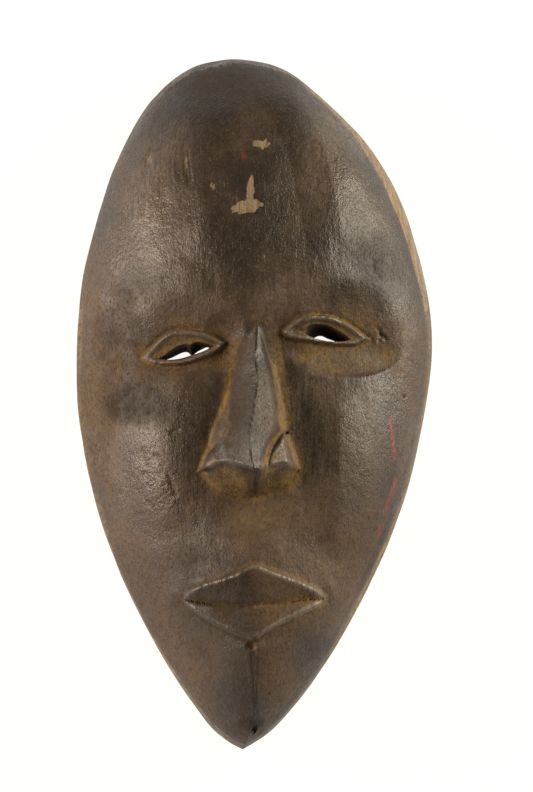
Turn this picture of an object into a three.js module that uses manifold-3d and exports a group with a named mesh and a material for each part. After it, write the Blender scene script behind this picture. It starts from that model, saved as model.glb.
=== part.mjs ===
// A carved wooden face mask of the Dan kind, one piece of wood, hollow behind.
// It lies on the flat rim of its hollow, face up: millimetres, +Z up out of the face,
// +Y towards the crown, +X to the right as seen from the front. The origin is under the
// middle of the mask, on the plane that the rim lies on.
import * as THREE from "three";
import Module from "manifold-3d";

// Driving dimensions
const LENGTH = 250; // rim, from the crown to the point of the chin
const WIDTH = 128; // rim, across the temples
const DEPTH = 64; // from the rim's plane to the tip of the nose
const RIM_WIDTH = 8; // flat ring that the mask lies on
const WALL = 9; // wood between the face and the hollow
const EDGE_HEIGHT = 9; // plain side band that stands on the rim
const EDGE_LEAN = 3; // how far that band leans in, at its widest but the chin
const LID_HEIGHT = 2.2; // raised lid above its socket
const LID_BEVEL = 2.2; // width of a lid's sloping border
const SOCKET_DEPTH = 4.6; // hollow that each eye sits in
const LIP_HEIGHT = 2.6; // raised border of the mouth above the face
const LIP_BEVEL = 1; // width of that border's outer slope
const LIP_DISH = 2.6; // how far the mouth falls from that border to the line between the lips
const LIP_LINE = 1.2; // width of that line
const FORM_BED = 0.2; // how far the foot of a raised form sinks below the face

// Mesh fineness
const GRID = 256; // finest steps across the mask, a power of two
const FACE_TOLERANCE = 0.12; // how far the facets may leave the carved face
const HOLLOW_TOLERANCE = 0.3; // and the hollow behind it

// Places on the face are shares of the half width and the half length, and heights are
// shares of the depth, so that the carving keeps its proportions when a size changes.
const x = (share) => (share * WIDTH) / 2;
const y = (share) => (share * LENGTH) / 2;
const z = (share) => share * DEPTH;
const at = ([across, along]) => new THREE.Vector2(x(across), y(along));

// The rim's outline, from the point of the chin up the left side to the crown and down again.
const RIM = [
  [-0.062, -1], [-0.161, -0.972], [-0.278, -0.913], [-0.496, -0.75], [-0.729, -0.521], [-0.894, -0.289],
  [-0.984, -0.056], [-1, 0.1], [-0.987, 0.279], [-0.947, 0.412], [-0.817, 0.647], [-0.656, 0.825],
  [-0.519, 0.913], [-0.377, 0.968], [-0.248, 0.991], [-0.09, 1], [0.12, 0.979], [0.302, 0.923],
  [0.613, 0.766], [0.824, 0.588], [0.962, 0.353], [1, 0.149], [0.949, -0.056], [0.842, -0.287],
  [0.659, -0.519], [0.408, -0.749], [0.133, -0.929], [-0.062, -1],
];

// Height of the crown line before any feature is cut, by place along the face.
const CROWN_LINE = [
  [-1, 0.8], [-0.8, 0.79], [-0.6, 0.75], [-0.35, 0.7], [-0.12, 0.68], [0.1, 0.69],
  [0.24, 0.735], [0.42, 0.78], [0.7, 0.76], [1, 0.72],
];

// How far the side band leans in, as shares of EDGE_LEAN: from the point of the chin up the
// left side, over the crown and down the right side, by share of the way round.
const LEAN_ROUND = [
  [0, 0.6], [0.03, 0.5], [0.07, 0.15], [0.22, 0.1], [0.41, 0.2], [0.45, 0.7], [0.5, 1.05], [0.54, 0.9],
  [0.565, 0.7], [0.59, 0.8], [0.63, 0.8], [0.67, 0.4], [0.72, 0.12], [0.82, 0.12], [0.87, 0.3], [0.93, 0.4],
  [1, 0.6],
];

// How far the face's ridge stands to the right of the line through the point of the chin,
// and how near the rim that shift dies away: the higher the power, the nearer.
const RIDGE_SHIFT = 0.095;
const SHIFT_POWER = 9;

const EYES = {
  left: {
    centre: [-0.377, 0.119], tilt: 8.4, half: 0.241, above: 0.053, below: 0.042,
    slit: { centre: [-0.392, 0.119], half: 0.193, above: 0.029, below: 0.019 },
    through: { centre: [-0.361, 0.1095], half: 0.12, above: 0.0205, below: 0.0085 },
    socket: { centre: [-0.43, 0.113], across: 0.34, above: 0.15, below: 0.1, crispness: 0.35 },
  },
  right: {
    centre: [0.4, 0.158], tilt: -4.5, half: 0.239, above: 0.057, below: 0.0245,
    slit: { centre: [0.428, 0.163], half: 0.152, above: 0.033, below: 0.02 },
    through: { centre: [0.384, 0.153], half: 0.06, above: 0.016, below: 0.008 },
    socket: { centre: [0.492, 0.148], across: 0.344, above: 0.15, below: 0.115, crispness: 1 },
  },
};

// The nose and its wings are ridges from above down: place along the face, how far the crest
// is to the right, its height, and the half widths of the planes to its left and right.
// Slopes are falls for each millimetre across, and for the underside along the face.
const NOSE = {
  slopes: { left: 1.12, right: 0.66, side: 2.6, under: 2.6 },
  rows: [
    [0.288, 0.014, 0.64, 0.031, 0.023],
    [0.171, 0.014, 0.725, 0.047, 0.028],
    [0.088, 0.008, 0.784, 0.086, 0.053],
    [-0.024, 0.009, 0.881, 0.145, 0.09],
    [-0.122, -0.02, 0.953, 0.16, 0.11],
    [-0.2, -0.014, 0.99, 0.165, 0.06],
    [-0.227, 0.003, 1, 0.16, 0.045],
  ],
};
const LEFT_WING = {
  slopes: { left: 0.35, right: 0.35, side: 2.6, under: 1.3 },
  rows: [
    [-0.11, -0.15, 0.7, 0.01, 0.01], [-0.15, -0.13, 0.81, 0.06, 0.02], [-0.203, -0.11, 0.845, 0.133, 0.03],
  ],
};
const RIGHT_WING = {
  slopes: { left: 0.5, right: 0.5, side: 2.8, under: 1.3 },
  rows: [
    [-0.11, 0.165, 0.7, 0.01, 0.01], [-0.15, 0.125, 0.83, 0.02, 0.055], [-0.203, 0.09, 0.88, 0.02, 0.12],
  ],
};

const MOUTH = {
  left: [-0.403, -0.578], right: [0.411, -0.577],
  top: [0.003, -0.485], bottom: [-0.003, -0.69],
};
const MOUTH_LINE_DROP = 0.019; // how far the line between the lips sags at its middle

// Soft swellings and hollows of the face: place, reach across and along, height.
const SWELLINGS = [
  { centre: [-0.5, -0.12], across: 0.34, along: 0.3, height: 0.045 }, // left cheek
  { centre: [0.52, -0.14], across: 0.34, along: 0.34, height: 0.045 }, // right cheek
  { centre: [0, -0.58], across: 0.62, along: 0.21, height: 0.05 }, // around the mouth
  { centre: [0, -0.29], across: 0.24, along: 0.1, height: -0.045 }, // under the nose
  { centre: [-0.16, 0.1], across: 0.16, along: 0.14, height: -0.05 }, // beside the nose, left
  { centre: [0.17, 0.13], across: 0.16, along: 0.14, height: -0.05 }, // beside the nose, right
];

// Small helpers
const mix = (a, b, share) => a + (b - a) * share;
const clamp01 = (value) => Math.min(1, Math.max(0, value));
const smoothStep = (from, to, value) => {
  const share = clamp01((value - from) / (to - from));
  return share * share * (3 - 2 * share);
};
// A value read smoothly along pairs of place and value: a cubic between each two places. Its
// slope at each is that of the parabola through it and its neighbours, held back where it
// would carry the curve past them.
function readAlong(pairs, place) {
  const last = pairs.length - 1;
  const clamped = Math.min(pairs[last][0], Math.max(pairs[0][0], place));
  let i = 0;
  while (i < last - 1 && clamped > pairs[i + 1][0]) i++;
  const step = (k) => pairs[k + 1][0] - pairs[k][0];
  const rise = (k) => (pairs[k + 1][1] - pairs[k][1]) / step(k);
  const slope = (k) => {
    if (k === 0 || k === last) return rise(Math.min(k, last - 1));
    const [before, after] = [rise(k - 1), rise(k)];
    if (before * after <= 0) return 0;
    const parabola = (before * step(k) + after * step(k - 1)) / (step(k - 1) + step(k));
    return Math.sign(before) * Math.min(Math.abs(parabola), 3 * Math.abs(before), 3 * Math.abs(after));
  };
  const share = (clamped - pairs[i][0]) / step(i);
  const fromStart = pairs[i][1] * (1 + 2 * share) + slope(i) * step(i) * share;
  const fromEnd = pairs[i + 1][1] * (3 - 2 * share) - slope(i + 1) * step(i) * (1 - share);
  return fromStart * (1 - share) ** 2 + fromEnd * share ** 2;
}

// The outline as distances from a pole above the point of the chin, by angle.
const bearing = (arm) => (Math.atan2(-arm.x, -arm.y) + 2 * Math.PI) % (2 * Math.PI);
function rimOutline() {
  const points = new THREE.SplineCurve(RIM.map(at)).getPoints(RIM.length * 24);
  const box = new THREE.Box2().setFromPoints(points);
  const fit = new THREE.Vector2(WIDTH, LENGTH).divide(box.getSize(new THREE.Vector2()));
  const middle = box.getCenter(new THREE.Vector2());
  points.forEach((point) => point.sub(middle).multiply(fit));
  const pole = new THREE.Vector2(points[0].x, 0);
  const arms = points.map((point) => point.sub(pole));
  const around = arms.slice(1, -1).map((arm) => [bearing(arm), arm.length()]);
  const tip = arms[0].length();
  return { pole, around: [[0, tip], ...around, [2 * Math.PI, tip]] };
}
function reachOf(around, arm) {
  const angle = bearing(arm);
  let low = 0;
  let high = around.length - 1;
  while (high - low > 1) {
    const half = (low + high) >> 1;
    if (around[half][0] <= angle) low = half;
    else high = half;
  }
  const share = (angle - around[low][0]) / (around[high][0] - around[low][0]);
  return mix(around[low][1], around[high][1], share);
}
const armAt = (angle, length) => new THREE.Vector2(-Math.sin(angle) * length, -Math.cos(angle) * length);
// The same outline moved in, so that the ring between the two is equally wide all round.
function insetOutline(around, width) {
  const rim = around.map(([angle, length]) => armAt(angle, length));
  const segment = (k) => [rim[k], rim[k + 1].clone().sub(rim[k])];
  const segments = rim.slice(0, -1).map((_, k) => segment(k));
  const clearance = (point) =>
    Math.min(...segments.map(([start, run]) => {
      const offset = point.clone().sub(start);
      return offset.addScaledVector(run, -clamp01(offset.dot(run) / run.lengthSq())).length();
    }));
  return around.map(([angle, length]) => {
    let [inside, outside] = [0, length];
    while (outside - inside > 0.02) {
      const half = (inside + outside) / 2;
      if (clearance(armAt(angle, half)) > width) inside = half;
      else outside = half;
    }
    return [angle, inside];
  });
}
const leanAt = (arm) => EDGE_LEAN * readAlong(LEAN_ROUND, bearing(arm) / (2 * Math.PI));
const shiftAt = (share) => x(RIDGE_SHIFT) * (1 - share ** SHIFT_POWER);
const outline = rimOutline();
const hollowEdge = insetOutline(outline.around, RIM_WIDTH);

// A square's point (-1 to 1 both ways) laid on the mask: its direction from the pole, and its
// share of the way to the rim. Squares become rings that keep the outline's form.
function ringPlace(u, v) {
  const wide = Math.abs(u) > Math.abs(v);
  const share = Math.max(Math.abs(u), Math.abs(v));
  if (share === 0) return { arm: new THREE.Vector2(0, 1), share };
  const angle = wide ? (Math.PI / 4) * (v / u) : Math.PI / 2 - (Math.PI / 4) * (u / v);
  const side = wide ? Math.sign(u) : Math.sign(v);
  const arm = new THREE.Vector2(side * Math.cos(angle) * WIDTH, side * Math.sin(angle) * LENGTH);
  return { arm: arm.normalize(), share };
}

// Dome from 1 in the middle to 0 at its edge, flat in front and steep at the sides.
const DOME = { flatness: 2.7, steepness: 0.56, cut: 0.985 };
const domeAt = (share) => (1 - (DOME.cut * share) ** DOME.flatness) ** DOME.steepness;
const dome = (share) => (domeAt(share) - domeAt(1)) / (1 - domeAt(1));
const crownLine = (place) => z(readAlong(CROWN_LINE, place / y(1)));

function swelling({ centre, across, along, height }, place) {
  const offset = place.clone().sub(at(centre));
  const distance = (offset.x / x(across)) ** 2 + (offset.y / y(along)) ** 2;
  return z(height) * Math.max(0, 1 - distance) ** 2;
}

// Place in an eye's own axes, along and across the slit.
function inEye(eye, centre, place) {
  return place.clone().sub(at(centre)).rotateAround(new THREE.Vector2(), THREE.MathUtils.degToRad(-eye.tilt));
}

function socket(eye, place) {
  const { centre, across, above, below, crispness } = eye.socket;
  const offset = inEye(eye, centre, place);
  const reach = y(offset.y > 0 ? above : below);
  const inside = Math.max(0, 1 - (offset.x / x(across)) ** 2 - (offset.y / reach) ** 2);
  const crisp = crispness * smoothStep(y(0.02), y(-0.05), offset.y);
  return -SOCKET_DEPTH * inside ** mix(2, 1, crisp);
}

// The face above a place on ring `share`, before the lids, nose and lips are put on it.
function faceHeight(place, share) {
  let height = crownLine(place.y) * dome(share) + EDGE_HEIGHT * (1 - dome(share));
  for (const form of SWELLINGS) height += swelling(form, place);
  for (const eye of Object.values(EYES)) height += socket(eye, place);
  return height;
}
// The same for any place: the ring is found by closing in on the place from the pole.
function faceAt(place) {
  let share = 0.5;
  for (let i = 0; i < 12; i++) {
    const arm = place.clone().sub(outline.pole);
    arm.x -= shiftAt(share);
    share = Math.min(1, arm.length() / (reachOf(outline.around, arm) - leanAt(arm)));
  }
  return faceHeight(place, share);
}

// Outer surface: the side band on the outermost rings, and the face inside it.
const BAND_SHARE = 1 / 16;
function outerPoint(u, v) {
  const { arm, share } = ringPlace(u, v);
  const reach = reachOf(outline.around, arm);
  const band = Math.max(0, share - 1 + BAND_SHARE) / BAND_SHARE;
  const ring = Math.min(1, share / (1 - BAND_SHARE));
  const distance = (reach - leanAt(arm)) * ring + leanAt(arm) * band;
  const place = outline.pole.clone().addScaledVector(arm, distance);
  place.x += shiftAt(distance / reach);
  const height = band > 0 ? EDGE_HEIGHT * (1 - band) : faceHeight(place, ring);
  return new THREE.Vector3(place.x, place.y, height);
}

// The hollow behind, smooth and without the nose, a wall's thickness under the face.
const HOLLOW_DROP = 4; // how far the cutter reaches below the rim
const HOLLOW_FLARE = 1; // and spreads on the way
const HOLLOW_SPARE = 3; // wood left besides the wall, for the sockets and the mouth
function hollowPoint(u, v) {
  const { arm, share } = ringPlace(u, v);
  const band = Math.max(0, share - 1 + BAND_SHARE) / BAND_SHARE;
  const ring = Math.min(1, share / (1 - BAND_SHARE));
  const distance = reachOf(hollowEdge, arm) * ring + HOLLOW_FLARE * band;
  const place = outline.pole.clone().addScaledVector(arm, distance);
  const roof = (crownLine(place.y) - WALL - HOLLOW_SPARE) * dome(ring);
  return new THREE.Vector3(place.x, place.y, roof - HOLLOW_DROP * band);
}

// Triangles over a grid of points: right triangles halved again and again, but only where
// the surface leaves them by more than the tolerance. Each point's error is raised to its
// children's first, so that neighbours always split together.
function adaptiveTriangles(points, size, tolerance) {
  const side = size + 1;
  const normals = points.map((_, i) => {
    const column = i % side;
    const row = Math.floor(i / side);
    const step = (c, r) => points[Math.min(size, Math.max(0, r)) * side + Math.min(size, Math.max(0, c))];
    const across = step(column + 1, row).clone().sub(step(column - 1, row));
    const along = step(column, row + 1).clone().sub(step(column, row - 1));
    return across.cross(along).normalize();
  });
  const deepest = 2 * Math.log2(size) - 1;
  const errors = new Float32Array(points.length);
  const measure = (a, b, c, depth, finest) => {
    const middle = (a + b) / 2;
    if (depth > 0) {
      measure(c, a, middle, depth - 1, finest);
      measure(b, c, middle, depth - 1, finest);
      return;
    }
    const chord = points[a].clone().add(points[b]).multiplyScalar(0.5);
    const own = Math.abs(chord.sub(points[middle]).dot(normals[middle]));
    const children = finest ? [] : [errors[(c + a) / 2], errors[(b + c) / 2]];
    errors[middle] = Math.max(errors[middle], own, ...children);
  };
  const corners = [0, size, side * side - 1, size * side];
  const roots = [[corners[0], corners[2], corners[1]], [corners[2], corners[0], corners[3]]];
  for (let depth = deepest; depth >= 0; depth--) {
    roots.forEach((root) => measure(...root, depth, depth === deepest));
  }
  const triangles = [];
  const collect = (a, b, c, depth) => {
    const middle = (a + b) / 2;
    if (depth > deepest || errors[middle] <= tolerance) {
      triangles.push([a, c, b]);
      return;
    }
    collect(c, a, middle, depth + 1);
    collect(b, c, middle, depth + 1);
  };
  roots.forEach((root) => collect(...root, 0));
  return triangles;
}

const solidOf = (wasm, points, triangles) =>
  new wasm.Manifold(new wasm.Mesh({
    numProp: 3,
    vertProperties: new Float32Array(points.flatMap((point) => point.toArray())),
    triVerts: new Uint32Array(triangles.flat()),
  }));

// A closed solid under a surface, with a flat base through its border.
function solidUnder(wasm, surface, tolerance) {
  const side = GRID + 1;
  const points = Array.from({ length: side * side }, (_, i) =>
    surface(((i % side) / GRID) * 2 - 1, (Math.floor(i / side) / GRID) * 2 - 1));
  const triangles = adaptiveTriangles(points, GRID, tolerance);
  const used = [...new Set(triangles.flat())];
  const order = new Map(used.map((i, k) => [i, k]));
  const steps = Array.from({ length: GRID }, (_, i) => i);
  const border = [
    ...steps.map((i) => i),
    ...steps.map((i) => i * side + GRID),
    ...steps.map((i) => side * side - 1 - i),
    ...steps.map((i) => (GRID - i) * side),
  ].filter((i) => order.has(i));
  const middle = used.length;
  const base = border.map((i, k) => [middle, order.get(border[(k + 1) % border.length]), order.get(i)]);
  const renumbered = triangles.map((corners) => corners.map((i) => order.get(i)));
  const centre = new THREE.Vector3(outline.pole.x, outline.pole.y, points[0].z);
  return solidOf(wasm, [...used.map((i) => points[i]), centre], [...renumbered, ...base]);
}

// A closed solid through loops of equally many points, each anticlockwise as seen from the
// last of them. The ends are filled by stepping down both sides of the loop in turn.
function solidThrough(wasm, loops) {
  const count = loops[0].length;
  const triangles = [];
  for (let ring = 0; ring < loops.length - 1; ring++) {
    for (let i = 0; i < count; i++) {
      const [a, b] = [ring * count + i, ring * count + ((i + 1) % count)];
      triangles.push([a, b, b + count], [a, b + count, a + count]);
    }
  }
  const top = (loops.length - 1) * count;
  let [low, high] = [0, count - 1];
  const fill = (a, b, c) => triangles.push([a, c, b], [top + a, top + b, top + c]);
  while (high - low > 1) {
    fill(low, low + 1, high);
    low++;
    if (high - low > 1) {
      fill(low, high - 1, high);
      high--;
    }
  }
  return solidOf(wasm, loops.flat(), triangles);
}

// A ridge that stands out of the face: a plane on each side of its crest, steep sides, and an
// underside that slopes back to a narrow foot.
const RIDGE_BASE = 0.5; // share of the depth at which it starts, inside the wood
const RIDGE_SKIRT = 1; // how far its sides reach below that
const FOOT_SHARE = 0.4; // width and offset of that foot, as shares of the ridge's end
function ridge(wasm, { slopes, rows }) {
  const low = z(RIDGE_BASE);
  const section = ([along, across, height, left, right], onFoot) => {
    const share = onFoot ? FOOT_SHARE : 1;
    const reach = (z(height) - low) / slopes.side;
    const setBack = onFoot ? (z(height) - low) / slopes.under : 0;
    const point = (offset, level) =>
      new THREE.Vector3((x(across) + offset) * share, y(along) - setBack, onFoot ? low : level);
    const edge = (offset, slope) => point(offset, Math.max(low, z(height) - slope * Math.abs(offset)));
    return [
      point(x(right) + reach, low - RIDGE_SKIRT),
      edge(x(right), slopes.right),
      point(0, z(height)),
      edge(-x(left), slopes.left),
      point(-x(left) - reach, low - RIDGE_SKIRT),
    ];
  };
  const foot = section(rows[rows.length - 1], true);
  foot[0].z -= RIDGE_SKIRT;
  foot[4].z -= RIDGE_SKIRT;
  return solidThrough(wasm, [...rows.map((row) => section(row, false)), foot]);
}

// An almond about an eye's centre, drawn in from its edge by `inset`.
const ALMOND_STEPS = 14;
function almond(eye, { centre, half, above, below }, inset = 0) {
  const middle = at(centre);
  const arc = (from, to, rise) =>
    Array.from({ length: ALMOND_STEPS }, (_, i) => {
      const along = mix(from, to, i / ALMOND_STEPS);
      return new THREE.Vector2(along * (x(half) - 2 * inset), rise * (1 - along * along));
    });
  const loop = [...arc(-1, 1, inset - y(below)), ...arc(1, -1, y(above) - inset)];
  const turn = THREE.MathUtils.degToRad(eye.tilt);
  return loop.map((point) => point.rotateAround(new THREE.Vector2(), turn).add(middle));
}
const raise = (loop, height) => loop.map((place) => new THREE.Vector3(place.x, place.y, height(place)));

function lid(wasm, eye) {
  const edge = almond(eye, eye);
  const top = almond(eye, eye, LID_BEVEL);
  const loops = [
    raise(edge, () => z(RIDGE_BASE)),
    raise(edge, (place) => faceAt(place) - FORM_BED),
    raise(top, (place) => faceAt(place) + LID_HEIGHT),
  ];
  return solidThrough(wasm, loops);
}

// A cutter for an eye slit: wide in front, and narrowing through the wall to the hole behind.
function slitCutter(wasm, eye) {
  const front = faceAt(at(eye.centre));
  const [hole, slit] = [almond(eye, eye.through), almond(eye, eye.slit)];
  const loops = [
    raise(hole, () => 0),
    raise(hole, () => front - WALL),
    raise(slit, () => front),
    raise(slit, () => DEPTH),
  ];
  return solidThrough(wasm, loops);
}

// The mouth: a diamond with a raised border, dished towards the line between the lips.
const LIP_STEPS = 6;
const LINE_START = 0.12; // where that line starts, as a share of the way in from a corner
function lips(wasm) {
  const corners = [MOUTH.left, MOUTH.bottom, MOUTH.right, MOUTH.top].map(at);
  const along = (from, to) =>
    Array.from({ length: LIP_STEPS }, (_, i) => from.clone().lerp(to, i / LIP_STEPS));
  const diamond = (points) => points.flatMap((point, k) => along(point, points[(k + 1) % 4]));
  const edge = diamond(corners);
  const centre = corners[1].clone().lerp(corners[3], 0.5);
  const halfHeight = corners[1].distanceTo(corners[3]) / 2;
  const inwards = corners.map((point) => point.clone().lerp(centre, LIP_BEVEL / halfHeight));
  const middle = inwards[0].clone().lerp(inwards[2], 0.5);
  middle.y -= y(MOUTH_LINE_DROP);
  const half = new THREE.Vector2(0, LIP_LINE / 2);
  const leftEnd = inwards[0].clone().lerp(middle, LINE_START);
  const rightEnd = inwards[2].clone().lerp(middle, LINE_START);
  const [under, over] = [middle.clone().sub(half), middle.clone().add(half)];
  const line = [
    ...along(leftEnd, under),
    ...along(under, rightEnd),
    ...along(rightEnd, over),
    ...along(over, leftEnd),
  ];
  const loops = [
    raise(edge, () => z(RIDGE_BASE)),
    raise(edge, (place) => faceAt(place) - FORM_BED),
    raise(diamond(inwards), (place) => faceAt(place) + LIP_HEIGHT),
    raise(line, (place) => faceAt(place) + LIP_HEIGHT - LIP_DISH),
  ];
  return solidThrough(wasm, loops);
}

function geometryOf(solid) {
  const { vertProperties, triVerts } = solid.getMesh();
  const geometry = new THREE.BufferGeometry();
  geometry.setAttribute("position", new THREE.BufferAttribute(vertProperties, 3));
  geometry.setIndex(new THREE.BufferAttribute(triVerts, 1));
  geometry.computeVertexNormals();
  return geometry;
}

async function carveMask() {
  const wasm = await Module();
  wasm.setup();
  const eyes = Object.values(EYES);
  const raised = [
    ...[NOSE, LEFT_WING, RIGHT_WING].map((form) => ridge(wasm, form)),
    ...eyes.map((eye) => lid(wasm, eye)),
    lips(wasm),
  ];
  const hollow = solidUnder(wasm, hollowPoint, HOLLOW_TOLERANCE);
  const cut = [hollow, ...eyes.map((eye) => slitCutter(wasm, eye))];
  const block = solidUnder(wasm, outerPoint, FACE_TOLERANCE);
  const carved = raised.reduce((wood, form) => wood.add(form), block);
  return cut.reduce((wood, form) => wood.subtract(form), carved);
}

const wood = new THREE.MeshStandardMaterial({ color: 0x3a2c20, roughness: 0.45, metalness: 0 });
const mask = new THREE.Mesh(geometryOf(await carveMask()), wood);
mask.name = "mask";

const group = new THREE.Group();
group.add(mask);
export default group;
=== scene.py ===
# A carved wooden face mask: its carved surface, patina, light and camera.
import math

import bpy
import numpy as np
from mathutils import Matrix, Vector


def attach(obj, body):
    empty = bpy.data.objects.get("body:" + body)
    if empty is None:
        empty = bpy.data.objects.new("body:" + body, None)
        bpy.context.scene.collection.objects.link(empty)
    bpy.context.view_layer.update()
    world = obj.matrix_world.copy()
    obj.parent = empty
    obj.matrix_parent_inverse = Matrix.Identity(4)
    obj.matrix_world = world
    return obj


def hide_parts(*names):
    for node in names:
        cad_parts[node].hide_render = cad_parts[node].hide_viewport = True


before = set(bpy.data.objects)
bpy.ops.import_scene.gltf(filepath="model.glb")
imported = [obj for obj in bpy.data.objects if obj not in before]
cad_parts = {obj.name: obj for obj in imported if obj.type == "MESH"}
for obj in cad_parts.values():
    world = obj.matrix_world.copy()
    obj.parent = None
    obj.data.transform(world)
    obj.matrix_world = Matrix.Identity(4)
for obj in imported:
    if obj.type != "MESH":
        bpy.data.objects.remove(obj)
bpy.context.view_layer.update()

MM = 0.001

# Driving dimensions, in millimetres, as in the solid model, but for the deeper dish of the lips
LENGTH = 250.0
WIDTH = 128.0
DEPTH = 64.0
RIM_WIDTH = 8.0
WALL = 9.0
EDGE_HEIGHT = 9.0
EDGE_LEAN = 3.0
LID_HEIGHT = 2.2
SOCKET_DEPTH = 4.6
LIP_HEIGHT = 2.6
LIP_DISH = 3.4

# Places on the outline are shares of the half width and the half length.
RIM = [
    (-0.062, -1), (-0.161, -0.972), (-0.278, -0.913), (-0.496, -0.75), (-0.729, -0.521), (-0.894, -0.289),
    (-0.984, -0.056), (-1, 0.1), (-0.987, 0.279), (-0.947, 0.412), (-0.817, 0.647), (-0.656, 0.825),
    (-0.519, 0.913), (-0.377, 0.968), (-0.248, 0.991), (-0.09, 1), (0.12, 0.979), (0.302, 0.923),
    (0.613, 0.766), (0.824, 0.588), (0.962, 0.353), (1, 0.149), (0.949, -0.056), (0.842, -0.287),
    (0.659, -0.519), (0.408, -0.749), (0.133, -0.929), (-0.062, -1),
]
LEAN_ROUND = [
    (0, 0.6), (0.03, 0.5), (0.07, 0.15), (0.22, 0.1), (0.41, 0.2), (0.45, 0.7), (0.5, 1.05), (0.54, 0.9),
    (0.565, 0.7), (0.59, 0.8), (0.63, 0.8), (0.67, 0.4), (0.72, 0.12), (0.82, 0.12), (0.87, 0.3), (0.93, 0.4),
    (1, 0.6),
]
CROWN_LINE = [
    (-125, 51.2), (-100, 50.6), (-75, 48), (-43.75, 44.8), (-15, 43.5), (12.5, 44.2),
    (30, 47), (52.5, 49.9), (87.5, 48.6), (125, 46.1),
]
RIDGE_SHIFT = 6.1

# Contours of the carving, in millimetres
LEFT_LID = {
    "upper": [(-39.6, 12.5), (-37.4, 14.9), (-35, 17.4), (-32.6, 19.6), (-30.2, 21), (-27.8, 21.7),
              (-25.4, 22), (-22.2, 21.8), (-19, 21.4), (-15.7, 20.2), (-12.5, 18.8), (-9.7, 17.4)],
    "lower": [(-39.6, 12.5), (-36.6, 10.7), (-34.2, 9.9), (-31.8, 9.5), (-29.4, 9.3), (-27, 9.3),
              (-24.6, 9.6), (-22.2, 10.1), (-19.7, 10.9), (-16.5, 12.1), (-14.1, 13.3), (-11.7, 14.9),
              (-9.7, 17.4)],
}
RIGHT_LID = {
    "upper": [(9.9, 20.8), (12.8, 23.7), (15.6, 25.4), (19, 26.6), (22.8, 26.8), (26.6, 26.6),
              (29.9, 25.6), (33.3, 23.9), (36.6, 21.8), (39, 20.1), (40.9, 18.7)],
    "lower": [(9.9, 20.8), (11.8, 18.7), (14.7, 17.9), (18, 17.4), (21.8, 17), (25.1, 16.7), (28.5, 16.4),
              (31.8, 16.2), (35.2, 16.5), (38.5, 17.7), (40.9, 18.7)],
}
LEFT_SLIT = {
    "upper": [(-36.5, 11.7), (-34.2, 13.5), (-32.2, 15.1), (-30.2, 16.4), (-27.7, 17.6), (-25.3, 18.2),
              (-22.9, 18.6), (-20.5, 18.8), (-18.1, 18.2), (-15.7, 17.2), (-13.1, 16.1)],
    "lower": [(-36.5, 11.7), (-34.1, 11.6), (-32.1, 11.5), (-30.1, 11.5), (-27.7, 11.6), (-25.3, 12),
              (-22.9, 12.7), (-20.5, 13.3), (-18.1, 14.1), (-15.7, 15), (-13.1, 16.1)],
}
RIGHT_SLIT = {
    "upper": [(17.3, 20.8), (18, 22.3), (19.4, 23.5), (21.8, 24.1), (24.7, 24.2), (27.5, 23.9), (30.4, 23),
              (33.2, 21.8), (35.6, 20.6), (37.4, 19)],
    "lower": [(17.3, 20.8), (18, 20.2), (19.9, 19.1), (22.8, 18.3), (25.6, 17.9), (29.4, 17.6),
              (32.3, 17.6), (35.1, 17.9), (37.4, 19)],
}
# The holes behind the slits; the left one is nearly parted by a tooth of wood.
LEFT_HOLE = {
    "upper": [(-31.2, 12.2), (-30, 12.6), (-28.9, 13), (-26.9, 13.9), (-24.2, 14.8), (-22.9, 14.6),
              (-22.2, 13.7), (-21.7, 13), (-21.2, 13.8), (-20, 14.8), (-18.4, 15.6), (-16.3, 16.4),
              (-15.5, 16.2)],
    "lower": [(-31.2, 12.2), (-28.9, 11.4), (-25, 11.6), (-21.7, 12.6), (-18.4, 14), (-15.5, 16.2)],
}
RIGHT_HOLE = {
    "upper": [(20.4, 19.2), (21.4, 19.9), (22.6, 20.5), (23.9, 20.6), (25.8, 19.8), (28.2, 19), (29.4, 18.4)],
    "lower": [(20.4, 19.4), (22.8, 18), (25.8, 17.6), (29.4, 18.4)],
}
MOUTH = {
    "upper": [(-25.8, -72.3), (-22, -69.2), (-17.8, -67.2), (-10.1, -64.9), (-5.2, -63), (0.2, -60.6),
              (5.7, -62.4), (10.7, -64.3), (16.2, -66.4), (21.6, -68.9), (26.3, -72.1)],
    "lower": [(-25.8, -72.3), (-19.5, -77.4), (-14, -81), (-9.6, -83.3), (-4.1, -85.6), (-0.2, -86.6),
              (4.4, -84), (9.6, -81.1), (16.2, -77.9), (21.1, -75.5), (26.3, -72.1)],
    "line": [(-25.8, -72.3), (-14, -74.3), (-5.2, -74.9), (2.5, -74.6), (10.7, -73.7), (18.9, -72.8),
             (26.3, -72.1)],
}

# The nose: place along the face, how far right its ridge is, its height, and how wide the
# planes on its left and right are.
NOSE = [
    (125, 0.6, 0, 2, 2), (36, 0.9, 41, 2, 1.5), (21.4, 0.9, 46.4, 3, 1.8), (16.5, 0.7, 48.2, 4, 2.2),
    (11, 0.5, 50.2, 5.5, 3.4), (4.5, 1, 53.2, 8, 4.4), (-3, 0.6, 56.4, 9.6, 5.8), (-9, -0.3, 58.6, 10.2, 7.2),
    (-15.3, -1.3, 61, 10.6, 7.4), (-20, -1.4, 62.3, 11, 5.4), (-25, -0.9, 63.4, 11.5, 3.8),
    (-28.5, 0.2, 64, 12, 3), (-125, 0.2, 64, 12, 3),
]
NOSE_PLANES = (1.12, 0.66)
NOSE_SIDES = (2.2, 2.6)
NOSE_ROUNDING = (2, 1.0)
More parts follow.
